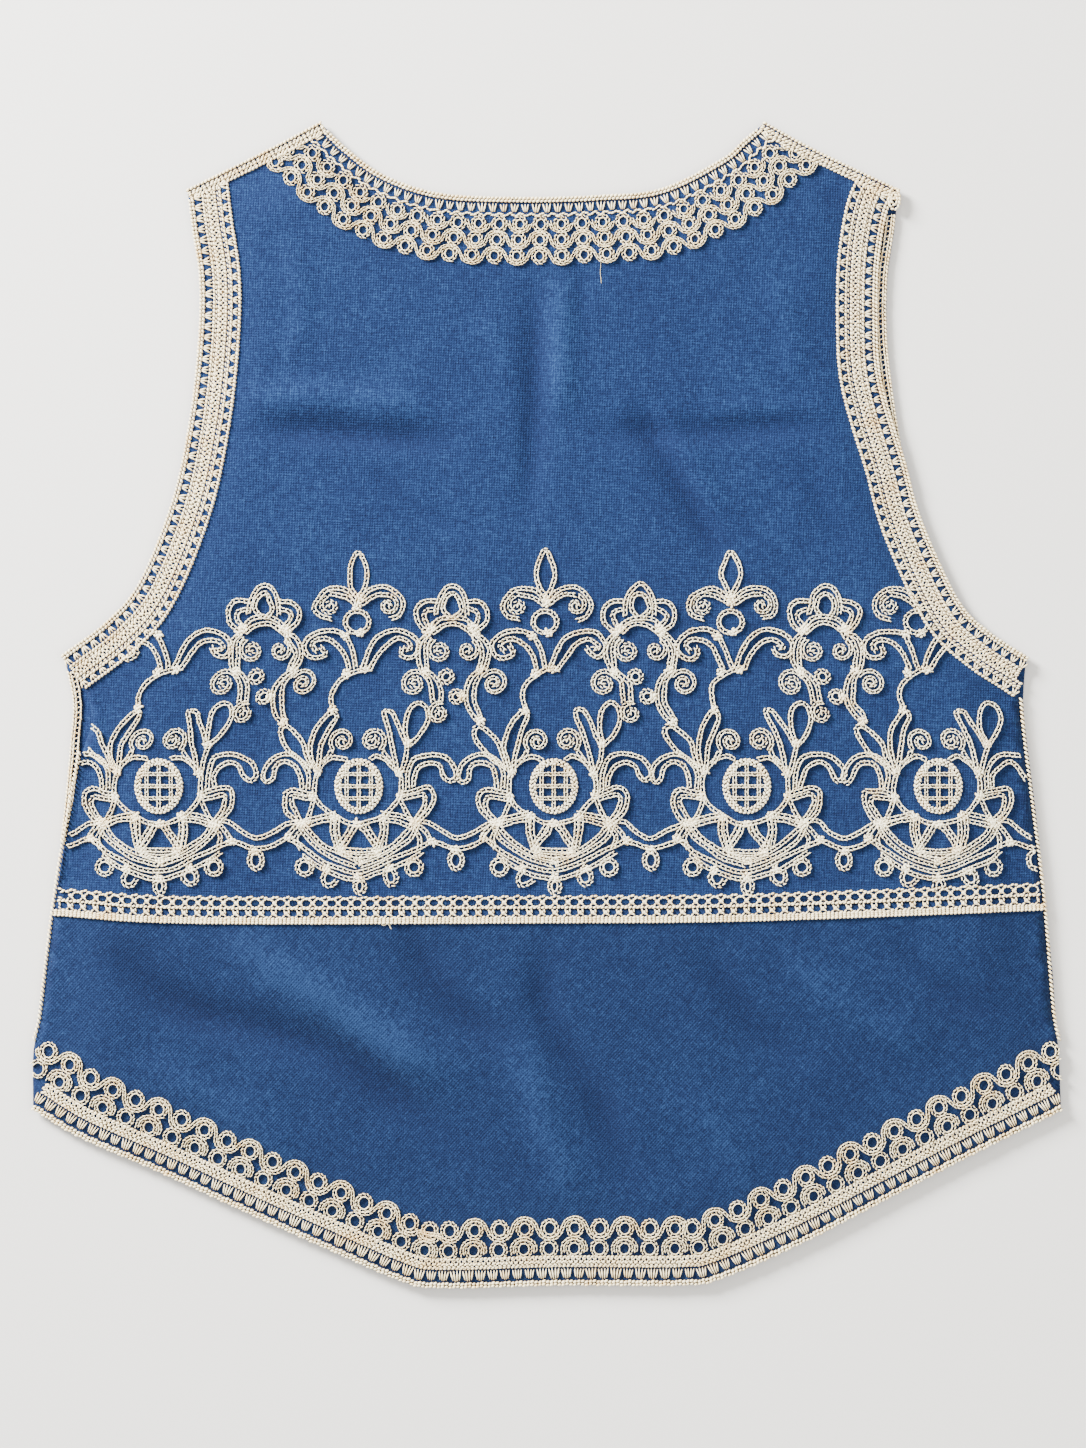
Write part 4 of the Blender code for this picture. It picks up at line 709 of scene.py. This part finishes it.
# Crown between two repeats, from its own middle
CROWN_OFFSET = 41.3     # from the medallion on its left
CROWN = {
    "arch": [(-7.6, 82.6), (-6.9, 87.4), (-5.4, 91.4), (-2.5, 94.8), (0.9, 96.0), (4.6, 93.4), (6.9, 88.2),
        (7.2, 82.6)],
    "bud": [(-1.4, 81.2), (-4.1, 85.0), (-3.1, 90.0), (0.3, 92.2), (3.5, 89.4), (4.1, 84.8), (1.7, 81.2)],
    "loop, left": [(-7.5, 88.6), (-13.2, 88.2), (-17.0, 84.6), (-16.4, 79.0), (-13.4, 75.4), (-11.4, 73.8)],
    "loop inside, left": [(-8.3, 85.0), (-12.0, 83.6), (-13.2, 80.8), (-11.2, 77.0)],
    "loop, right": [(7.5, 88.6), (12.9, 88.0), (16.6, 84.4), (16.0, 79.0), (12.9, 75.4), (10.7, 73.8)],
    "loop inside, right": [(7.9, 85.2), (11.9, 83.7), (12.9, 80.9), (11.1, 77.2)],
    "foot": [(-10.7, 75.6), (-5.6, 79.8), (0.9, 80.9), (6.9, 79.4), (10.9, 75.2)],
    "second foot": [(-9.1, 73.2), (-4.1, 76.9), (2.1, 77.6), (7.1, 75.2), (9.6, 72.6)],
    "leg, left": [(-11.6, 73.0), (-14.6, 70.0), (-16.0, 65.4), (-15.7, 60.0), (-13.9, 55.9)],
    "second leg, left": [(-10.4, 71.0), (-12.2, 68.0), (-12.6, 64.0), (-12.2, 59.6), (-12.1, 56.1)],
    "leg, right": [(10.9, 73.0), (15.0, 71.0), (17.7, 66.0), (17.7, 60.5), (15.9, 55.9)],
    "second leg, right": [(10.4, 71.4), (13.0, 68.6), (14.3, 64.1), (14.1, 59.5), (13.5, 56.3)],
    "scroll, left": [(-12.1, 55.3), (-8.7, 53.1), (-5.4, 49.0), (-4.3, 44.1), (-4.1, 40.1)],
    "second scroll, left": [(-12.5, 53.7), (-9.9, 50.3), (-8.3, 46.3), (-7.5, 41.1)],
    "scroll, right": [(14.1, 55.3), (10.5, 52.1), (8.3, 46.5), (8.7, 40.1), (11.5, 34.3), (15.3, 30.7)],
    "second scroll, right": [(15.1, 54.1), (12.7, 50.5), (11.7, 45.9), (12.5, 40.1), (14.9, 34.9),
        (16.5, 31.5)],
}
CROWN_RINGS = [(3.7, 42.9, 2.7, 2.6), (-2.0, 52.4, 2.7, 2.7)]
CROWN_COILS = [(-5.9, 65.0, 6.9, 120, 1), (7.6, 65.1, 6.4, 60, -1), (21.1, 49.3, 7.6, 150, -1),
               (-17.3, 49.1, 7.6, 30, 1), (-4.1, 34.9, 6.4, 80, 1)]
CROWN_KNOTS = [(-11.6, 73.8), (10.8, 73.8), (14.5, 55.4), (-12.6, 55.2), (16.0, 30.8), (-9.4, 75.8),
               (9.2, 75.8), (6.6, 43.0)]

# Fleur above a medallion: its stem and scrolls, then its flower
FLEUR_STEM = {
    "stem": [(-13.8, 37.0), (-15.0, 43.5), (-12.9, 49.1), (-7.4, 53.3), (-2.2, 55.5), (1.6, 56.1)],
    "scroll, left": [(-9.8, 72.6), (-15.0, 74.4), (-22.2, 74.0), (-27.4, 71.2), (-29.6, 66.8), (-27.8, 62.6),
        (-23.4, 61.2), (-19.8, 63.4), (-20.6, 66.4)],
    "scroll inside, left": [(-7.8, 55.9), (-9.8, 61.5), (-13.0, 66.7), (-18.0, 70.1), (-23.0, 70.1),
        (-25.6, 67.4), (-23.6, 65.4)],
    "branch": [(-9.2, 71.6), (-6.4, 65.3), (-4.2, 57.3)],
    "scroll, right": [(-1.4, 56.9), (1.6, 64.7), (5.8, 71.1), (12.4, 74.5), (19.6, 73.7), (24.2, 70.1),
        (25.4, 65.7), (22.4, 62.1), (18.0, 62.9), (17.0, 65.6)],
    "scroll inside, right": [(1.8, 55.9), (5.8, 62.1), (10.6, 68.1), (15.8, 70.3), (20.2, 69.1),
        (21.6, 66.4), (19.6, 65.6)],
}
FLEUR_STEM_KNOTS = [(-8.8, 54.0), (0.0, 55.9), (-9.8, 72.2), (-13.8, 36.6)]
FLEUR_FLOWER = {
    "leaf": [(-3.8, 90.6), (-6.8, 95.6), (-8.0, 101.4), (-6.4, 107.4), (-3.6, 112.0), (-0.6, 107.0),
        (0.8, 101.4), (-0.4, 95.6), (-3.2, 90.6)],
    "curl, left": [(-4.8, 89.4), (-8.0, 92.8), (-12.4, 94.6), (-18.0, 94.0), (-22.6, 90.8), (-24.2, 85.8),
        (-21.8, 81.6), (-17.6, 80.0)],
    "curl inside, left": [(-5.0, 87.0), (-8.4, 89.8), (-12.2, 91.4), (-16.6, 91.6)],
    "curl, right": [(-2.2, 89.6), (1.6, 93.2), (6.2, 95.0), (11.6, 94.6), (16.4, 91.2), (18.0, 86.0),
        (16.0, 81.6), (12.4, 80.4)],
    "curl inside, right": [(-1.8, 87.2), (2.2, 90.0), (6.0, 91.6), (10.2, 91.8)],
}
FLEUR_FLOWER_RINGS = [(-4.0, 78.6, 5.6, 5.2)]
FLEUR_FLOWER_COILS = [(-17.0, 86.4, 5.9, 110, 1), (10.8, 86.6, 5.9, 70, -1)]
FLEUR_FLOWER_KNOTS = [(-3.6, 87.4), (-3.4, 90.0), (-2.2, 73.6)]


def on_repeat(number, places):
    """Where the places of one repeat lie; the upper rows are closer together than the lower."""
    places = np.array(places, float)
    share = np.clip((places[:, 1] - LOWER_ROW) / (UPPER_ROW - LOWER_ROW), 0.0, 1.0)
    middle = LOWER_X[number] * (1 - share) + UPPER_X[number] * share
    return np.column_stack([middle + places[:, 0], FRIEZE_Y + places[:, 1]])


def shown_parts(path, closed):
    """The parts of a path that aren't below the armhole or waist bands, or beyond the sides."""
    away = np.minimum(distance_to(armhole_left, path)[0], distance_to(armhole_right, path)[0])
    kept = (away > ARMHOLE_BAND - UNDER_BAND) & inside(path, bodice_outline)
    waist_y = np.interp(path[:, 0], waist_line[:, 0], waist_line[:, 1])
    kept &= path[:, 1] > waist_y + WAIST_BAND / 2 - UNDER_BAND
    for side in (bodice_left, bodice_right):
        kept &= distance_to(side, path)[0] > BRAID / 2
    if kept.all():
        return [(path, closed)]
    if closed:
        path = np.vstack([path, path[:1]])
        kept = np.append(kept, kept[0])
    breaks = np.flatnonzero(np.diff(kept.astype(int))) + 1
    parts = zip(np.split(path, breaks), np.split(kept, breaks))
    return [(part, False) for part, keep in parts if keep[0] and len(part) > 2]


def ring(u, v, half_width, half_height, sides=20):
    """A closed oval path."""
    angles = np.arange(sides) * 2 * math.pi / sides
    return np.column_stack([u + half_width * np.cos(angles), v + half_height * np.sin(angles)])


def coil(u, v, radius, start, hand, pitch=COIL_PITCH, end=COIL_END):
    """A path that winds from a disc's outer edge to its middle."""
    outer = radius - BRAID / 2
    turns = (outer - end) / pitch
    angles = np.linspace(0.0, turns * 2 * math.pi, int(turns * 18) + 2)
    spans = outer - (outer - end) * angles / angles[-1]
    swept = math.radians(start) + hand * angles
    return np.column_stack([u + spans * np.cos(swept), v + spans * np.sin(swept)])


def motif(number, paths, rings=(), coils=(), knots=(), shift=0.0):
    """The runs of one motif in one repeat, with the small strayings of handwork."""
    hand = np.random.default_rng(number)
    runs = []

    def laid_down(path, closed=False, wide=BRAID_WIDE):
        for part, still_closed in shown_parts(on_repeat(number, path), closed):
            runs.extend(braid(part, still_closed, wide, above=LAYER_RISE * (len(runs) % 3 - 0.5)))

    for path in paths.values():
        strayed = np.array(path) + (shift, 0.0) + hand.normal(0.0, JITTER, (len(path), 2))
        laid_down(smooth_curve(strayed))
    for u, v, half_width, half_height in rings:
        laid_down(ring(u + shift, v, half_width, half_height), True)
    for u, v, radius, start, turning in coils:
        laid_down(coil(u + shift, v, radius, start, turning), False, COIL_WIDE)
    for u, v in knots:
        centre = np.array((u + shift, v)) + hand.normal(0.0, JITTER, 2)
        winding = coil(*centre, KNOT + BRAID / 2, hand.uniform(0, 360), 1, KNOT_PITCH, KNOT_END)
        for part, _ in shown_parts(on_repeat(number, winding), False):
            runs.append(run(part, "bead", 1.7, 1.1, 1.1))
    return runs


def blossom(number):
    """A woven oval: a dense rim round a lattice of narrow bars."""
    half_width, half_height = BLOSSOM
    runs = []
    for inset, kind, wide in ((1.0, "bead", 1.0), (2.5, "plait", 0.85)):
        path = on_repeat(number, ring(0.0, 0.0, half_width - inset, half_height - inset, 36))
        for part, closed in shown_parts(path, True):
            runs.append(run(part, kind, 2.0, wide, 1.1, closed))
    inner_width, inner_height = half_width - BLOSSOM_RIM + BAR_LAP, half_height - BLOSSOM_RIM + BAR_LAP
    for offset in BLOSSOM_BARS:
        reach = inner_height * math.sqrt(1 - (offset / inner_width) ** 2)
        upright = smooth_curve([(offset, -reach), (offset, reach)])
        reach = inner_width * math.sqrt(1 - (offset / inner_height) ** 2)
        level = smooth_curve([(-reach, offset), (reach, offset)])
        for order, path in enumerate((upright, level)):
            for part, _ in shown_parts(on_repeat(number, path), False):
                runs.extend(braid(part, False, BAR_WIDE, BAR_HIGH, above=BAR_RISE * order))
    return runs


frieze_cotton = cotton("lacet_braid_cotton", "86643a", "f1e3bd", "fff9dd", "e8ca92")
for number in range(1, 6):
    lace_piece(
        f"braid_medallion_{number}",
        motif(number, MEDALLION, MEDALLION_RINGS, MEDALLION_COILS, MEDALLION_KNOTS) + blossom(number),
        frieze_cotton, f"medallion_{number}", 10 + number)
for number in range(0, 6):
    lace_piece(
        f"braid_swag_{number}", motif(number, SWAG, SWAG_RINGS, (), SWAG_KNOTS),
        frieze_cotton, f"swag_{number}", 20 + number)
for number in range(1, 5):
    lace_piece(
        f"braid_crown_{number}",
        motif(number, CROWN, CROWN_RINGS, CROWN_COILS, CROWN_KNOTS, CROWN_OFFSET),
        frieze_cotton, f"crown_{number}", 30 + number)
for number in range(1, 6):
    runs = motif(number, FLEUR_STEM, (), (), FLEUR_STEM_KNOTS)
    if number > 1:
        runs += motif(number, FLEUR_FLOWER, FLEUR_FLOWER_RINGS, FLEUR_FLOWER_COILS, FLEUR_FLOWER_KNOTS)
    lace_piece(
        f"braid_fleur_{number}", runs, frieze_cotton, f"fleur_{number}", 40 + number)

# Neck lace
# A crocheted edging in the same cream cotton: an edge cord, a row of tall loops, and three rows of rings.
# Its braid weaves under one ring and over the next, and the blue of the cloth shows through every gap.
NECK_RINGS = 27         # in each row
NECK_ROWS = (13.0, 20.6, 28.4)          # depths of the rows of rings
NECK_LOOP_PITCH = 5.1
RING_RADIUS = 2.75      # of the middle of its braid
NECK_ARC = (5.0, 3.85)  # half length and half width of the half ovals under the rings
RING_TALL = 1.12        # a ring's height against its width
RING_SIDES = 16
NECK_RING_SMALL = 0.94  # every other ring is a little smaller
FINE = 0.68             # width of the rings' braid, which is finer than the frieze's
FINER = 0.52            # width of the braid that weaves round them
OVER = 0.2              # how far it lies above them
NECK_EDGING = [
    # Depth from the edge, stitch, pitch, width, height, and a wave where the row has one
    (0.4, "bead", 1.9, 1.2, 1.2), (1.8, "bead", 1.9, 1.15, 1.25),
    (5.2, "loops", NECK_LOOP_PITCH, 0.95, 1.0), (8.4, "bead", 1.6, 0.8, 0.9, 0.75),
]


def along_band(edge, depth, extra=0.0):
    """A path at a depth from an edge, its ends made longer by a little."""
    path = beside(edge, depth)
    head = path[0] + (path[0] - path[1]) / np.linalg.norm(path[0] - path[1]) * extra
    tail = path[-1] + (path[-1] - path[-2]) / np.linalg.norm(path[-1] - path[-2]) * extra
    return np.vstack([head, path, tail]) if extra > 0 else path


def spaced_on(path, count, inset):
    """Evenly spaced places on a path, and the direction there."""
    lengths = travelled(path)
    targets = np.linspace(inset, lengths[-1] - inset, count)
    spots = np.column_stack([np.interp(targets, lengths, path[:, 0]),
                             np.interp(targets, lengths, path[:, 1])])
    ahead = np.column_stack([np.interp(targets + 0.5, lengths, path[:, 0]),
                             np.interp(targets + 0.5, lengths, path[:, 1])]) - spots
    return spots, np.arctan2(ahead[:, 1], ahead[:, 0])


def scalloped(path, pitch, depth):
    """The path with small even waves to its sides."""
    along = np.gradient(path, axis=0)
    along /= np.linalg.norm(along, axis=1)[:, None]
    wave = depth * np.sin(travelled(path) * 2 * math.pi / pitch)
    return path + np.stack([-along[:, 1], along[:, 0]], axis=1) * wave[:, None]


def oval_arc(spot, direction, angles, half_long, half_wide):
    """Part of an oval round a place, its longer way along a direction."""
    long_way = half_long * np.cos(angles)
    wide_way = half_wide * np.sin(angles)
    return spot + np.column_stack([long_way * math.cos(direction) - wide_way * math.sin(direction),
                                   long_way * math.sin(direction) + wide_way * math.cos(direction)])


def weaving(spots, directions, half_long, half_wide):
    """A path that passes under the first ring and over the next, in half ovals round them."""
    path = []
    for index, (spot, direction) in enumerate(zip(spots, directions)):
        side = 1 if index % 2 else -1
        angles = math.pi - side * np.linspace(0.12, 0.88, 9) * math.pi
        path.extend(oval_arc(spot, direction, angles, half_long, half_wide))
    return np.array(path)


def edging(edge, rows, side=1, extra=0.0, wave_pitch=None):
    """Runs beside an edge, one for each row: depth, stitch, pitch, width, height, perhaps a wave."""
    runs = []
    for depth, kind, pitch, wide, high, *wave in rows:
        path = along_band(edge, side * depth, extra)
        if wave:
            path = scalloped(path, wave_pitch, wave[0])
        runs.append(run(path, kind, pitch, wide, high))
    return runs


def clipped(runs, outline, cuts=()):
    """The runs without what lies outside an outline or inside one of the cuts."""
    kept_runs = []
    for one in runs:
        path = one["path"]
        kept = inside(path[:, :2], outline)
        for curve, reach in cuts:
            kept &= distance_to(curve, path[:, :2])[0] > reach
        if kept.all():
            kept_runs.append(one)
            continue
        if one["closed"]:
            path, kept = np.vstack([path, path[:1]]), np.append(kept, kept[0])
        breaks = np.flatnonzero(np.diff(kept.astype(int))) + 1
        for part, keep in zip(np.split(path, breaks), np.split(kept, breaks)):
            if keep[0] and len(part) > 1:
                kept_runs.append({**one, "path": part, "closed": False})
    return kept_runs


edge_cotton = cotton("crochet_cotton", "8a6334", "f3dfae", "fff4cf", "e8c88a")
SHOULDER_TAPE = 5.8     # width of the shoulder tapes
TAPE_LAP = 0.4          # how far the laces run on below them
tape_cuts = [(shoulder, SHOULDER_TAPE - TAPE_LAP) for shoulder in (shoulder_left, shoulder_right)]
neck_fine = smooth_curve(NECK)
neck_runs = edging(neck_fine, NECK_EDGING, -1, 10.0, NECK_LOOP_PITCH)
for row, depth in enumerate(NECK_ROWS):
    row_path = along_band(neck_fine, -depth, 6.0)
    spots, directions = spaced_on(row_path, NECK_RINGS, 4.0)
    for column, (spot, direction) in enumerate(zip(spots, directions)):
        size = RING_RADIUS * (1.0 if column % 2 else NECK_RING_SMALL)
        neck_runs.extend(braid(ring(*spot, size, size * RING_TALL, RING_SIDES), True, FINE))
        if row == 0 and column % 2 == 0:
            hammock = oval_arc(spot, direction, -np.linspace(0.02, 0.98, 12) * math.pi, *NECK_ARC)
            neck_runs.extend(braid(hammock, wide=FINER, above=OVER))
    if row:
        neck_runs.extend(braid(weaving(spots, directions, *NECK_ARC), wide=FINER, above=OVER))
neck_runs = clipped(neck_runs, bodice_outline, tape_cuts)
neck_lace = lace_piece("crochet_neck_lace", neck_runs, edge_cotton, "neck_lace", 51)

# Hem lace
# The same crochet along the hem, with longer loops, a dense band, and two rows of rings under arches.
# It is sewn flat on the cloth, which reaches down to its edge cord.
HEM_ROWS = (17.8, 27.6)                 # depths of the rows of rings
LOOP_PITCH = 5.9
HEM_RINGS = 45          # in each row
HEM_RING_RADIUS = 3.15
HEM_RING_LARGE = 1.05   # every other ring is a little larger
HEM_ARC = (5.6, 5.1)    # half length and half width of the half ovals round the rings
HEM_FINER = FINE * 0.9  # width of the braid that weaves round them
HEM_EDGING = [
    (0.4, "bead", 1.9, 1.2, 1.3, 0.3), (1.8, "bead", 1.9, 1.2, 1.4, 0.3),
    (5.8, "sheaf", LOOP_PITCH, 1.45, 1.1), (9.3, "bead", 1.9, 1.1, 1.0), (10.6, "plait", 2.2, 0.8, 1.1),
    (12.3, "knit", 2.6, 1.0, 1.0), (13.8, "bead", 1.9, 1.1, 1.0),
]
hem_fine = smooth_curve(HEM)
hem_runs = edging(hem_fine, HEM_EDGING, 1, 10.0, LOOP_PITCH)
for row, depth in enumerate(HEM_ROWS):
    row_path = along_band(hem_fine, depth, 16.0)
    spots, directions = spaced_on(row_path, HEM_RINGS, 8.0)
    for column, (spot, direction) in enumerate(zip(spots, directions)):
        size = HEM_RING_RADIUS * (1.0 if column % 2 else HEM_RING_LARGE)
        hem_runs.extend(braid(ring(*spot, size, size * RING_TALL, RING_SIDES), True, FINE))
        if row == 0 and column % 2:
            bridge = oval_arc(spot, direction, np.linspace(-0.08, 1.08, 14) * math.pi, *HEM_ARC)
            hem_runs.extend(braid(bridge, wide=HEM_FINER, above=OVER))
    if row:
        hem_runs.extend(braid(weaving(spots, directions, *HEM_ARC), wide=HEM_FINER, above=OVER))
hem_runs = clipped(hem_runs, skirt_outline)
hem_lace = lace_piece("crochet_hem_lace", hem_runs, edge_cotton, "hem_lace", 52)

# Armhole laces
# A straight band of firm crochet round each armhole: cords at both edges, two rows of pointed holes,
# and a close middle with small dashes where its rows meet.
ARMHOLE_ROWS = [
    (0.4, "bead", 1.9, 1.2, 1.2), (1.8, "bead", 1.9, 1.15, 1.2), (4.4, "fan", 5.1, 1.1, 1.0),
    (6.9, "bead", 1.9, 1.1, 1.1), (8.0, "bead", 2.3, 0.7, 0.8), (9.2, "bead", 1.9, 1.15, 1.1),
    (10.9, "knit", 2.6, 1.0, 1.0), (12.6, "bead", 1.9, 1.15, 1.0), (14.1, "bead", 2.5, 0.7, 0.8),
    (15.2, "bead", 1.9, 1.0, 1.1), (17.2, "fan", 5.5, 0.85, 1.0), (19.2, "bead", 1.9, 1.25, 1.3),
]
for side_name, edge_points, inward, seed in (("left", ARMHOLE_LEFT, 1, 53), ("right", ARMHOLE_RIGHT, -1, 54)):
    edge = smooth_curve(edge_points)
    runs = clipped(edging(edge, ARMHOLE_ROWS, inward, 4.0), bodice_outline, tape_cuts)
    lace_piece(f"crochet_armhole_lace_{side_name}", runs, edge_cotton,
                                    f"armhole_lace_{side_name}", seed)

# Waist lace
# A firm band over the waist seam, with a scalloped upper edge and two rows of round eyelets.
# It hides the seam between the two panels, and casts a thin shadow at its lower edge.
EYELET_PITCH = 6.1
EYELETS = [(3.4, 2.5, 2.1), (-1.6, 2.4, 1.85)]      # depth of a row, half width and half height
WAIST_EDGING = [
    (5.9, "bead", 1.9, 0.9, 1.0, 0.6), (0.9, "bead", 1.9, 1.0, 1.0), (-4.0, "bead", 1.9, 1.0, 1.0),
    (-4.9, "bead", 1.9, 1.0, 0.9), (-6.0, "bead", 1.9, 1.2, 1.2),
]
waist_fine = smooth_curve(WAIST)
waist_runs = edging(waist_fine, WAIST_EDGING, wave_pitch=EYELET_PITCH)
eyelet_count = int(travelled(waist_fine)[-1] / EYELET_PITCH)
for depth, half_width, half_height in EYELETS:
    spots, directions = spaced_on(along_band(waist_fine, depth), eyelet_count, 4.0)
    for spot in spots:
        waist_runs.append(run(ring(*spot, half_width, half_height, 12), "bead", 1.7, 0.68, 1.0, True))
    between = (spots[1:] + spots[:-1]) / 2
    for spot in between:
        waist_runs.append(run([spot - (0.1, 0.0), spot + (0.1, 0.0)], "post", 0.2, 0.85, 0.9))
waist_runs = clipped(waist_runs, np.vstack([bodice_outline, skirt_outline]))
waist_lace = lace_piece("crochet_waist_lace", waist_runs, edge_cotton, "waist_lace", 55)

# Shoulder tapes
# A narrow woven tape over each shoulder seam, with two rows of small dashes along it.
# The right one ends in a rolled loop at the armhole.
TAPE_ROWS = [(0.4, "bead", 1.9, 1.2, 1.1), (1.9, "bead", 2.4, 0.7, 0.8), (2.9, "bead", 1.9, 1.1, 1.1),
             (4.0, "bead", 2.4, 0.7, 0.8), (5.0, "bead", 1.9, 1.1, 1.1)]
TAPE_CURL = (166.2, 241.9)              # middle of the right tape's rolled end
CURL_SIZES = (1.4, 2.6)                 # half widths of its two turns
CURL_TALL = 2.0                         # their height against their width
CURL_LEVEL = 2.7
for side_name, points, inward, seed in (("left", SHOULDER_LEFT, 1, 56), ("right", SHOULDER_RIGHT, -1, 57)):
    edge = smooth_curve(points)
    runs = edging(edge, TAPE_ROWS, inward)
    if side_name == "right":
        for size in CURL_SIZES:
            turn = ring(*TAPE_CURL, size, size * CURL_TALL, RING_SIDES)
            runs.append(run(turn, "bead", 1.8, 1.0, 1.3, True, CURL_LEVEL))
    lace_piece(f"woven_shoulder_tape_{side_name}", runs, edge_cotton,
                                     f"shoulder_tape_{side_name}", seed)

# Stray threads
# Two loose cotton ends that were never trimmed, one at the waist band and a finer one at the neck.
# They lie on the cloth below their lace and belong to it.
STRAY_ENDS = [("waist", [(-80.0, -104.8), (-78.6, -106.2), (-76.4, -105.6), (-75.2, -107.4)], 0.36, 62),
              ("neck", [(25.5, 211.0), (25.3, 206.0), (25.7, 201.8)], 0.1, 63)]
for place_name, points, wide, seed in STRAY_ENDS:
    loose = run(smooth_curve(points, 0.6), "bead", 0.9, wide, 0.25)
    lace_piece(f"stray_thread_{place_name}", [loose], edge_cotton, None, seed,
                                    sway=0.02)

# Front lace that peeps out
# The fronts' own edging shows beyond the back's at the right armhole and below the left one.
# It is the same crochet, seen as a row of small square holes between two cords.
PEEP_LEVEL = 1.5        # its height above the table
PEEP_BRAID = 2.9        # depth of its row of holes from the edge
PEEP_CORD = 0.6         # depth of its outer cord


def stretch(curve, top, bottom):
    """The part of a curve between two levels."""
    return curve[(curve[:, 1] <= top) & (curve[:, 1] >= bottom)]


for side_name, outer_points, top, bottom, inward, seed in (
        ("right", FRONT_ARMHOLE_RIGHT, 234.0, 126.0, -1, 58), ("left", FRONT_SIDE_LEFT, 15.0, -66.0, 1, 59)):
    edge = stretch(smooth_curve(outer_points), top, bottom)
    runs = braid(beside(edge, inward * PEEP_BRAID), wide=1.1, high=0.8, level=PEEP_LEVEL)
    runs.append(run(beside(edge, inward * PEEP_CORD), "bead", 1.9, 0.9, 0.9, level=PEEP_LEVEL))
    lace_piece(f"crochet_front_lace_{side_name}", runs, edge_cotton,
                                  f"front_lace_{side_name}", seed)

# Side cords
# A twisted cotton cord runs down each side seam, from the underarm to the hem lace.
# It lies in the step between the back's edge and the front below it.
CORD_OUT = 1.25         # from the back's edge to the cord's middle
LOW_CORD = 1.5          # level of the cord's middle on most of its way
HIGH_CORD = 3.0         # and on the upper part of the left side
CORD_STEPS = (0.0, 0.42, 0.5, 1.0)      # shares of its length at which its levels are given
CORD_PITCH = 2.15       # between the strands of its twist
CORD_LEFT = BODICE_SIDE_LEFT[3:-1] + SKIRT_SIDE_LEFT[:3] + [(-245.0, -161.0)]
CORD_RIGHT = BODICE_SIDE_RIGHT[1:-1] + SKIRT_SIDE_RIGHT[:3] + [(244.0, -161.0)]
for side_name, points, outward, levels, seed in (
        ("left", CORD_LEFT, -1, (HIGH_CORD, HIGH_CORD, LOW_CORD, LOW_CORD), 60),
        ("right", CORD_RIGHT, 1, (LOW_CORD,) * 4, 61)):
    path = beside(smooth_curve(points), outward * CORD_OUT)
    lengths = travelled(path)
    cord_run = run(path, "twist", CORD_PITCH, 1.0, 1.0, level=0.0)
    cord_run["path"][:, 2] = np.interp(lengths / lengths[-1], CORD_STEPS, levels)
    lace_piece(f"twisted_side_cord_{side_name}", [cord_run], edge_cotton,
                                 f"side_cord_{side_name}", seed, 0.03, 0.05)


# Table, light and camera
# The vest lies on a plain pale surface and is seen from straight above.
# A broad soft light from the upper left and a weak fill show the plaiting and the folds.
FLOOR_SIZE = 4.0
FLOOR_LEVEL = -0.0002   # just below the fronts
CAMERA_HEIGHT = 2.2
PICTURE_HEIGHT = 0.695  # what the picture shows from top to bottom
PICTURE_MIDDLE = (-0.00216, -0.00984)
SKY = 1.32              # strength of the even light from all round
# Name, place, width and power of each lamp
LAMPS = [("window", (-1.7, 1.49, 0.94), 0.77, 450.0), ("fill", (1.2, -0.6, 1.4), 1.6, 30.0)]
floor_mesh = bpy.data.meshes.new("pale_table")
half = FLOOR_SIZE / 2
corners = [(x, y, FLOOR_LEVEL) for x, y in ((-half, -half), (half, -half), (half, half), (-half, half))]
floor_mesh.from_pydata(corners, [], [(0, 1, 2, 3)])
floor = bpy.data.objects.new("pale_table", floor_mesh)
bpy.context.scene.collection.objects.link(floor)
table = bpy.data.materials.new("matt_table_paint")
table.use_nodes = True
table.node_tree.nodes["Principled BSDF"].inputs["Base Color"].default_value = tone("d9d7d2")
table.node_tree.nodes["Principled BSDF"].inputs["Roughness"].default_value = 0.9
floor_mesh.materials.append(table)

world = bpy.data.worlds.new("studio")
bpy.context.scene.world = world
world.use_nodes = True
world.node_tree.nodes["Background"].inputs["Color"].default_value = (1.0, 0.98, 0.95, 1.0)
world.node_tree.nodes["Background"].inputs["Strength"].default_value = SKY
for light_name, place, size, power in LAMPS:
    lamp = bpy.data.lights.new(light_name, "AREA")
    lamp.size = size
    lamp.energy = power
    holder = bpy.data.objects.new(light_name, lamp)
    holder.location = place
    holder.rotation_euler = (-Vector(place)).to_track_quat("-Z", "Y").to_euler()
    bpy.context.scene.collection.objects.link(holder)

lens = bpy.data.cameras.new("from_above")
lens.sensor_width = 36.0
lens.lens = lens.sensor_width * CAMERA_HEIGHT / PICTURE_HEIGHT
camera = bpy.data.objects.new("from_above", lens)
camera.location = (*PICTURE_MIDDLE, CAMERA_HEIGHT)
bpy.context.scene.collection.objects.link(camera)
bpy.context.scene.camera = camera
